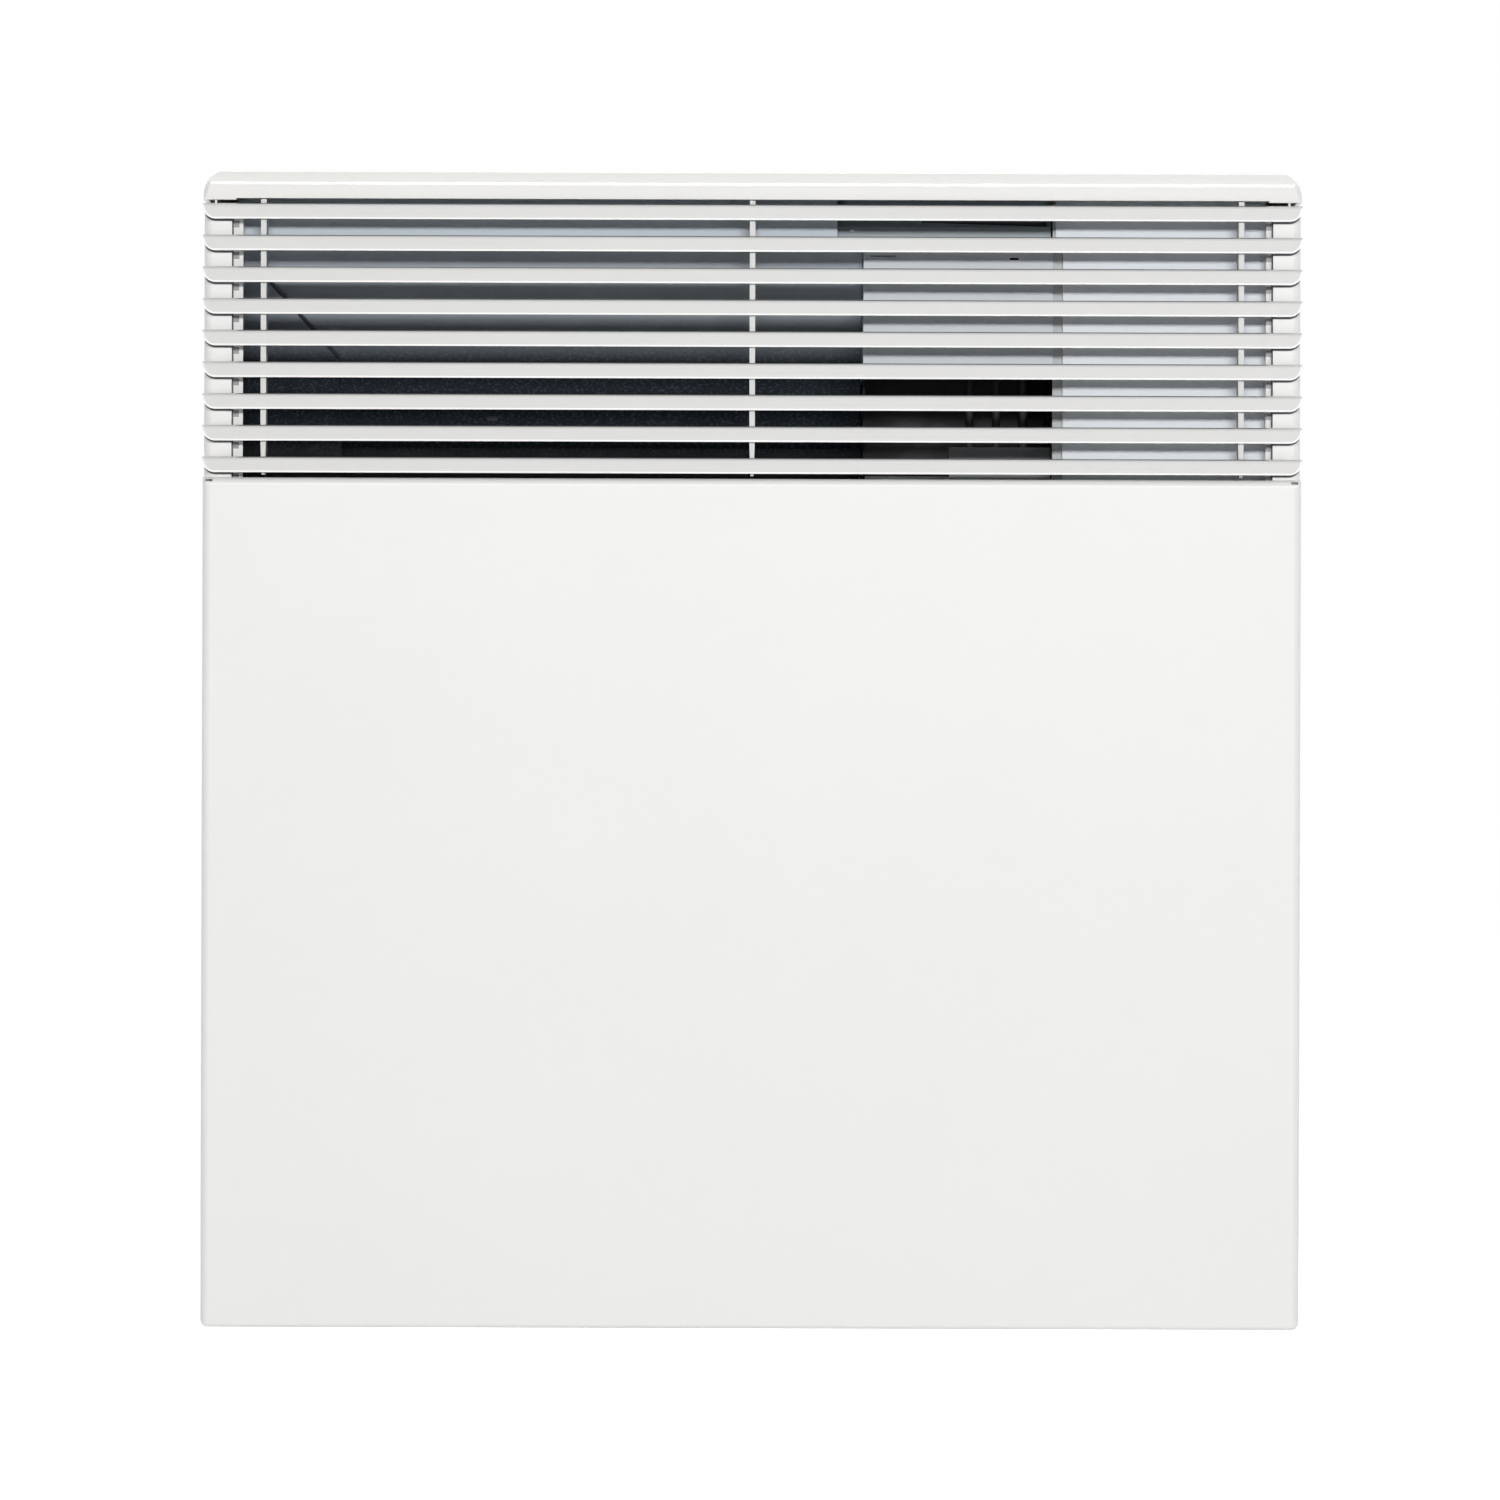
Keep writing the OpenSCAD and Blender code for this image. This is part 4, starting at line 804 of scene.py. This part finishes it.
def choose(piece, kind, test):
    """Selects, in edit mode, the faces or edges that pass the test."""
    if bpy.context.mode != "EDIT_MESH":
        bpy.ops.object.mode_set(mode="EDIT")
    bpy.ops.mesh.select_mode(type=kind)
    bpy.ops.mesh.select_all(action="DESELECT")
    shape = bmesh.from_edit_mesh(piece.data)
    for part in {"FACE": shape.faces, "EDGE": shape.edges}[kind]:
        if test(part):
            part.select_set(True)
    bmesh.update_edit_mesh(piece.data)


def looking(way, within=lambda centre: True):
    """A test for faces that look one way and whose centre passes a second test."""
    way = Vector(way).normalized()
    return lambda face: face.normal.dot(way) > 0.9 and within(face.calc_center_median())


def extrude(by):
    bpy.ops.mesh.extrude_region_move(TRANSFORM_OT_translate={"value": by})


def bevel(width, steps=2):
    bpy.ops.mesh.bevel(offset=width, segments=steps, affect="EDGES")


def inset(width):
    bpy.ops.mesh.inset(thickness=width)


def cut(piece, at, across):
    """Cuts the whole piece along a plane, and keeps both halves."""
    choose(piece, "FACE", lambda face: True)
    bpy.ops.mesh.bisect(plane_co=at, plane_no=across)


print("shaping steps: extrude, bevel, inset and cut")

# %% [markdown]
# A part that repeats is modelled once at the origin. Each copy gets a mesh of its own, and its
# place is settled in that mesh, so that the finish reads the same coordinates as on a CAD node.

# %% Place, copy and keep a piece
SMOOTH_ANGLE = math.radians(35)


def place(piece, matrix):
    """Moves a piece that was modelled at the origin, and settles the move in its mesh."""
    rest()
    piece.matrix_world = matrix
    piece.select_set(True)
    bpy.context.view_layer.objects.active = piece
    bpy.ops.object.transform_apply(location=True, rotation=True, scale=True)


def twin(piece, name, matrix):
    """A copy with a mesh of its own, moved by a matrix."""
    other = piece.copy()
    other.data = piece.data.copy()
    other.name = other.data.name = name
    bpy.context.scene.collection.objects.link(other)
    place(other, matrix)
    return other


def keep(piece, slot, body="heater"):
    """Smooths a finished piece, gives it its finish and ties it to its body."""
    rest()
    piece.select_set(True)
    bpy.context.view_layer.objects.active = piece
    bpy.ops.object.shade_smooth_by_angle(angle=SMOOTH_ANGLE)
    if not piece.material_slots:
        dress(piece, FINISHES[slot])
    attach(piece, body)


def repeat(first, places, slot, body="heater"):
    """Keeps a copy of the first piece at each named place, and removes the first one."""
    for name, matrix in places.items():
        keep(twin(first, name, matrix), slot, body)
    bpy.data.objects.remove(first)


print("pieces are smoothed below", round(math.degrees(SMOOTH_ANGLE)), "degrees")

# %% [markdown]
# ## Seen through the louvres
# Four small things show between the blades: the pale end of a pin on the front of the control
# housing, a spring clip on the leaning deflector whose black feet are a painted shadow, the hem
# of the corner sheet, dark with painted shade, and a black flap in the housing's mouth, which is
# painted shade. The pin is a rod that is flattened a little, and its end is hollowed, because
# the rim is what catches the light.

# %% Pin on the control housing
PIN_FROM_LEFT = 6.1 * MM
PIN_FROM_TOP = 7.1 * MM
PIN_R = 0.95 * MM
PIN_L = 1.0 * MM
PIN_OUT = 0.3 * MM


def housing_pin():
    low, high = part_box("control_housing")
    at = Vector((low.x + PIN_FROM_LEFT, low.y - PIN_OUT, high.z - PIN_FROM_TOP))
    piece = rod("housing_pin", at, (0, -1, 0), PIN_R, PIN_L, 24)
    choose(piece, "FACE", lambda face: True)
    bpy.ops.transform.resize(value=(1, 1, 0.6), center_override=at)
    choose(piece, "FACE", looking((0, -1, 0)))
    bevel(0.2 * MM)
    choose(piece, "FACE", looking((0, -1, 0)))
    inset(0.25 * MM)
    extrude((0, 0.12 * MM, 0))
    keep(piece, "knob_plastic")


housing_pin()
print("pin's radius:", PIN_R)

# %% [markdown]
# The clip is modelled flat at the origin and then laid on the deflector's slope. It is a block
# with a foot pulled out of each side, and its raised front is a little paler than the feet, so
# it carries two finishes. The black of the feet is a painted shadow line.

# %% Spring clip on the deflector
LEAN_START = 27 * MM
LEAN_END = 100 * MM
CLIP_X = -102.1 * MM
CLIP_DROP = 89.4 * MM


def on_deflector(drop):
    """The depth of the deflector's front at a drop below the hood's top, and its slope."""
    low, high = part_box("air_deflector")
    lean = (high.y - low.y) / (LEAN_END - LEAN_START)
    return low.y + (drop - LEAN_START) * lean, math.atan(lean)


def deflector_clip():
    half, foot_end, foot_h = 2.25 * MM, 6.8 * MM, 0.5 * MM
    piece = block("deflector_clip", (-half, -1.4 * MM, -1.3 * MM), (half, 0.2 * MM, 1.3 * MM))
    for side in (-foot_h, foot_h):
        cut(piece, (0, 0, side), (0, 0, 1))
    cut(piece, (0, -0.4 * MM, 0), (0, 1, 0))
    for side in (-1, 1):
        foot = looking((side, 0, 0), lambda centre: abs(centre.z) < foot_h and centre.y > -0.4 * MM)
        choose(piece, "FACE", foot)
        extrude((side * (foot_end - half), 0, 0))
    hat = looking((0, -1, 0), lambda centre: centre.y < -1 * MM)
    choose(piece, "FACE", hat)
    bevel(0.45 * MM)
    depth, lean = on_deflector(CLIP_DROP)
    at = Matrix.Translation((CLIP_X, depth, TOP_Z - CLIP_DROP))
    # painted shadow: the feet are black
    dress(piece, painted_shade_black)
    piece.data.materials.append(clip_black)
    choose(piece, "FACE", hat)
    piece.active_material_index = 1
    bpy.ops.object.material_slot_assign()
    place(piece, at @ Matrix.Rotation(lean, 4, "X"))
    keep(piece, "dark_plastic")


deflector_clip()
print("the deflector leans", round(math.degrees(on_deflector(CLIP_DROP)[1]), 1), "degrees")

# %% [markdown]
# The hem is a rolled edge, so it is a thin rod along the corner sheet's slanting side, and its
# dark colour is painted shade. The flap is a thin black plate that stands inside the housing's
# mouth as painted shade.

# %% Hem and flap
HEM_R = 0.8 * MM
HEM_FROM_LEFT = 20.1 * MM
HEM_BACK = 25.8 * MM
HEM_FALL = 29.4 * MM
FLAP_T = 0.5 * MM
FLAP_FROM_LEFT = 30 * MM
FLAP_FROM_FRONT = 5.7 * MM


def corner_hem():
    low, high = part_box("duct_corner_plate")
    upper = Vector((low.x + HEM_FROM_LEFT, low.y + HEM_R, high.z))
    lower = Vector((high.x, upper.y + HEM_BACK, high.z - HEM_FALL))
    along = lower - upper
    piece = rod("corner_hem", (upper + lower) / 2, along, HEM_R, along.length, 16)
    for way in (along, -along):
        choose(piece, "FACE", looking(way))
        bevel(0.25 * MM)
    # painted shade: the hem's dark colour
    keep(piece, "dark_plastic")


def housing_flap():
    low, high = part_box("control_housing")
    front = low.y + FLAP_FROM_FRONT
    lower = (low.x + FLAP_FROM_LEFT, front, low.z + 6 * MM)
    upper = (high.x - 2 * MM, front + FLAP_T, high.z - 1 * MM)
    piece = block("housing_flap", lower, upper)
    choose(piece, "FACE", looking((0, -1, 0)))
    inset(0.8 * MM)
    extrude((0, 0.15 * MM, 0))
    # painted shade: the flap is black
    dress(piece, painted_shade_black)
    keep(piece, "dark_plastic")


corner_hem()
housing_flap()
print("hem and flap: 2")

# %% [markdown]
# ## The control well
# The thermostat has a scale of raised ticks and numbers round it, and both knobs carry a dark
# inlay in their pointer groove. Turning clockwise, seen from above, makes the room warmer, so
# the numbers run that way. They could be drawn in the finish, but on a moulding they are raised,
# so the ticks are blocks with eased tops, and the numbers are text turned into meshes.

# %% Ticks and numbers
def middle_of(node):
    low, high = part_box(node)
    return (low + high) / 2


DIAL_H = 10.8 * MM
WELL_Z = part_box("thermostat_dial")[1].z - DIAL_H
DIAL = middle_of("thermostat_dial")
SELECTOR = middle_of("mode_selector")
MARK_H = 0.15 * MM
SUNK = 0.1 * MM
NUMBER_SIZE = 2.6 * MM
NUMBER_RADIUS = 16.9 * MM
DIAL_ANGLES = range(-135, 136, 45)
SELECTOR_ANGLES = (-60, 0, 60)


def about(centre, angle):
    """Turns about the vertical through a point of the well's floor."""
    to = Matrix.Translation((centre.x, centre.y, WELL_Z))
    return to @ Matrix.Rotation(math.radians(angle), 4, "Z")


def tick(name, radius, length, width):
    """A raised tick at the origin's front, with its upper edges eased."""
    low = (-width / 2, -radius - length, -SUNK)
    piece = block(name, low, (width / 2, -radius, MARK_H))
    choose(piece, "FACE", looking((0, 0, 1)))
    bevel(0.05 * MM, 1)
    return piece


def ring_of_ticks(name, centre, angles, *sizes):
    first = tick(name, *sizes)
    places = {f"{name}_{i}": about(centre, angle) for i, angle in enumerate(angles)}
    repeat(first, places, "knob_plastic")


def dial_numbers():
    for number, degrees in enumerate(reversed(DIAL_ANGLES)):
        rest()
        angle = math.radians(degrees)
        bpy.ops.object.text_add()
        text = bpy.context.active_object
        text.data.body = str(number)
        text.data.size = NUMBER_SIZE
        text.data.align_x = "CENTER"
        text.data.align_y = "CENTER"
        text.data.extrude = MARK_H
        text.data.resolution_u = 4
        bpy.ops.object.convert(target="MESH")
        piece = bpy.context.active_object
        piece.name = piece.data.name = f"dial_number_{number}"
        away = Vector((math.sin(angle), -math.cos(angle), 0)) * NUMBER_RADIUS
        place(piece, Matrix.Translation((DIAL.x + away.x, DIAL.y + away.y, WELL_Z)))
        keep(piece, "knob_plastic")


ring_of_ticks("dial_tick", DIAL, DIAL_ANGLES, 14.5 * MM, 0.9 * MM, 0.35 * MM)
dial_numbers()
ring_of_ticks("selector_tick", SELECTOR, SELECTOR_ANGLES, 9.8 * MM, 1.2 * MM, 0.6 * MM)
print("ticks:", len(DIAL_ANGLES), "and", len(SELECTOR_ANGLES))

# %% [markdown]
# The inlays and the rocker's marks move with their knobs, so each is tied to the body of the
# knob it lies on. The rocker has the usual bar and ring for on and off. It rests tilted, and its
# face is hollow: it rises from the middle towards both ends, and the marks follow that slope.

# %% Inlays, bar and ring
INLAY_W = 1.1 * MM
PIVOT_DROP = 13 * MM
ROCKER_REST = math.radians(8)
FACE_SLOPE = math.radians(9.95)


def inlay(name, centre, low, high, body):
    """A dark strip in a pointer groove; low and high are (distance, height) from the centre."""
    half = INLAY_W / 2
    corner = (centre.x - half, centre.y - low[0], WELL_Z + low[1])
    piece = block(name, corner, (centre.x + half, centre.y - high[0], WELL_Z + high[1]))
    choose(piece, "FACE", looking((0, 0, 1)))
    bevel(0.1 * MM)
    keep(piece, "dark_plastic", body)


def rocker_place(along, height, slope):
    """A place on the rocker's face, which rests tilted about its pivot."""
    middle = middle_of("rocker_switch")
    pivot = Matrix.Translation((middle.x, middle.y, TOP_Z - PIVOT_DROP))
    tilt = Matrix.Rotation(ROCKER_REST, 4, "X")
    return pivot @ tilt @ Matrix.Translation((0, along, height)) @ Matrix.Rotation(slope, 4, "X")


def rocker_marks():
    reach, level, ring_w = 5.9 * MM, 3.78 * MM, 0.45 * MM
    bar = block("rocker_on", (-0.25 * MM, -1.4 * MM, -SUNK), (0.25 * MM, 1.4 * MM, MARK_H))
    choose(bar, "FACE", looking((0, 0, 1)))
    bevel(0.05 * MM, 1)
    place(bar, rocker_place(reach, level, FACE_SLOPE))
    keep(bar, "knob_plastic", "rocker")
    ring = rod("rocker_off", (0, 0, 0), (0, 0, 1), 1.4 * MM, 2 * SUNK)
    for way in (1, -1):
        choose(ring, "FACE", looking((0, 0, way)))
        inset(ring_w)
        bpy.ops.mesh.delete(type="FACE")
    choose(ring, "EDGE", lambda edge: edge.is_boundary)
    bpy.ops.mesh.bridge_edge_loops()
    place(ring, rocker_place(-reach, level, -FACE_SLOPE))
    keep(ring, "knob_plastic", "rocker")


inlay("dial_inlay", DIAL, (11.0 * MM, 9.2 * MM), (4.6 * MM, 9.9 * MM), "thermostat")
inlay("selector_inlay", SELECTOR, (8.2 * MM, 9.1 * MM), (2.4 * MM, 9.6 * MM), "selector")
rocker_marks()
print("inlays, bar and ring: 4")

# %% [markdown]
# ## Wiring details
# The terminal block has slotted clamping screws, the thermal cut-out's blades carry crimped
# connectors, and a silicone boot covers each end of the heater rod where its lead leaves. A
# screw's slot could be cut with another shape. Here two cuts mark a strip of the head, which is
# pushed inwards, and the mesh stays clean.

# %% Terminal screws
POLES = 3
SCREW_TURN = 35


def terminal_screws():
    """Three clamping screws in the lower row and one in the upper row."""
    low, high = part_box("terminal_block")
    across = (high.x - low.x) / POLES
    first = rod("terminal_screw", (0, 0, 0), (0, 1, 0), 2.3 * MM, 2.8 * MM)
    choose(first, "FACE", looking((0, 1, 0)))
    bevel(0.4 * MM)
    for side in (-0.35, 0.35):
        cut(first, (0, 0, side * MM), (0, 0, 1))
    choose(first, "FACE", looking((0, 1, 0), lambda centre: abs(centre.z) < 0.3 * MM))
    extrude((0, -0.8 * MM, 0))
    lower_row, upper_row = low.z + 5 * MM, low.z + 13 * MM
    heads = [(pole, lower_row) for pole in range(POLES)] + [(0, upper_row)]
    places = {}
    for number, (pole, height) in enumerate(heads):
        at = (low.x + (pole + 0.5) * across, high.y - 4.6 * MM, height)
        turned = Matrix.Rotation(math.radians(SCREW_TURN * number), 4, "Y")
        places[f"terminal_screw_{number}"] = Matrix.Translation(at) @ turned
    repeat(first, places, "screw_steel")
    return len(places)


print("terminal screws:", terminal_screws())

# %% [markdown]
# A connector is a bevelled block, whose end is drawn out and reshaped for the crimp. A boot is
# a thick rod that narrows to the lead. Each is modelled once and copied, and one of the two
# boots is turned round to face the other way.

# %% Crimped connectors and boots
BLADE_SPACING = 8 * MM


def crimp_connectors():
    middle = middle_of("thermal_cutout")
    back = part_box("thermal_cutout")[1].y
    first = block("connector", (-2.1 * MM, -5 * MM, -1.1 * MM), (2.1 * MM, 1 * MM, 1.1 * MM))
    choose(first, "EDGE", lambda edge: abs(edge.verts[0].co.y - edge.verts[1].co.y) > 1 * MM)
    bevel(0.6 * MM, 3)
    choose(first, "FACE", looking((0, 1, 0)))
    extrude((0, 0.8 * MM, 0))
    bpy.ops.transform.resize(value=(0.85, 1, 1.6), center_override=(0, 1.8 * MM, 0))
    extrude((0, 2.6 * MM, 0))
    inset(0.2 * MM)
    places = {}
    for number, side in enumerate((-0.5, 0.5)):
        at = (middle.x + side * BLADE_SPACING, back, middle.z)
        places[f"connector_{number}"] = Matrix.Translation(at)
    repeat(first, places, "screw_steel")


def rod_boots():
    low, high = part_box("heater_rod")
    middle = middle_of("heater_rod")
    first = rod("rod_boot", (0, 0, 0), (1, 0, 0), 4.6 * MM, 7 * MM)
    choose(first, "FACE", looking((1, 0, 0)))
    extrude((1.5 * MM, 0, 0))
    bpy.ops.transform.resize(value=(1, 0.5, 0.5), center_override=(5 * MM, 0, 0))
    extrude((4 * MM, 0, 0))
    bevel(0.4 * MM)
    places = {}
    for number, (end, turn) in enumerate(((low.x, math.pi), (high.x, 0))):
        at = Matrix.Translation((end, middle.y, middle.z))
        places[f"rod_boot_{number}"] = at @ Matrix.Rotation(turn, 4, "Z")
    repeat(first, places, "lead_sleeve")


crimp_connectors()
rod_boots()
print("connectors: 2, boots: 2")

# %% [markdown]
# ## Latches
# Each latch lever has four grip ribs on its wall side, near the end that a finger reaches. They
# stand out far enough to show from the side, which a bump can't do, so they are small blocks
# with eased tops.

# %% Grip ribs
RIBS = 4
RIB_START = 3.5 * MM
RIB_PITCH = 2.4 * MM


def grip_ribs():
    for name in ("left", "right"):
        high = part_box("latch_" + name)[1]
        middle = middle_of("latch_" + name)
        first = block("grip_rib", (-3.6 * MM, -0.3 * MM, -0.5 * MM), (3.6 * MM, 0.6 * MM, 0.5 * MM))
        choose(first, "FACE", looking((0, 1, 0)))
        bevel(0.35 * MM)
        places = {}
        for number in range(RIBS):
            at = (middle.x, high.y, high.z - RIB_START - RIB_PITCH * number)
            places[f"grip_rib_{name}_{number}"] = Matrix.Translation(at)
        repeat(first, places, "pale_plastic", name + "_latch")


grip_ribs()
print("grip ribs on each latch:", RIBS)

# %% [markdown]
# ## Closing the rear flanges
# In the CAD model the casing's two rear flanges are open over 20 mm, just below the outlet. A
# short strip of the same painted sheet closes each opening beside the back panel's edge. Its
# hidden inner edges are eased, and its outer edge meets the side wall.

# %% Joint strips
SHEET_T = 1.2 * MM
JOINT_H = 20 * MM
JOINT_W = 3.4 * MM


def joint_strip(name, side):
    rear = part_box("casing")[1].y
    outer = side * (HALF_W - SHEET_T)
    inner = side * (HALF_W - SHEET_T - JOINT_W)
    low = (min(inner, outer), rear - SHEET_T, PANEL_TOP_Z - JOINT_H)
    piece = block(name, low, (max(inner, outer), rear - 0.04 * MM, PANEL_TOP_Z))

    def on_inner(edge):
        return all(abs(vertex.co.x - inner) < 0.01 * MM for vertex in edge.verts)

    choose(piece, "EDGE", on_inner)
    bevel(0.3 * MM)
    keep(piece, "casing_paint")


joint_strip("joint_strip_left", -1)
joint_strip("joint_strip_right", 1)
print("joint strips: 2")

# %% [markdown]
# ## The floor
# The heater hangs a hand's span above a plain white floor. The floor is lit like anything
# else, so that it holds the heater's shadow, and a little light of its own towards the camera
# takes its lit part to white.

# %% Lay the floor
FLOOR_DROP = 0.15
FLOOR_GLOW = 0.56
FAR_GLOW = 0.95
NEAR = 0.3
FAR = 1.4
FLOOR_SIZE = 40
FLOOR_WHITE = (0.82, 0.82, 0.82)

rest()
bpy.ops.mesh.primitive_plane_add(size=FLOOR_SIZE, location=(0, 0, BOTTOM_Z - FLOOR_DROP))
floor = bpy.context.active_object
floor.name = "floor"
white = Finish("floor_white")
towards = white.add("LightPath", out="Is Camera Ray")
for ray in ("Is Transmission Ray", "Is Glossy Ray"):
    towards = white.math("MAXIMUM", towards, white.add("LightPath", out=ray))
matt = white.add("BsdfDiffuse", None, {"Color": FLOOR_WHITE})
reach = white.add("VectorMath", {"operation": "LENGTH"}, {0: place_on(white)}, out="Value")
level = ramp(white, reach, NEAR, FAR, FLOOR_GLOW, FAR_GLOW)
glow = white.add("Emission", None, {"Color": (1, 1, 1), "Strength": towards * level})
both = white.add("AddShader", None, {0: matt, 1: glow})
white.tree.links.new(both.socket, white.tree.nodes["Material Output"].inputs["Surface"])
white.tree.nodes.remove(white.shader)
dress(floor, white.material)
print("floor at z", round(BOTTOM_Z - FLOOR_DROP, 3))
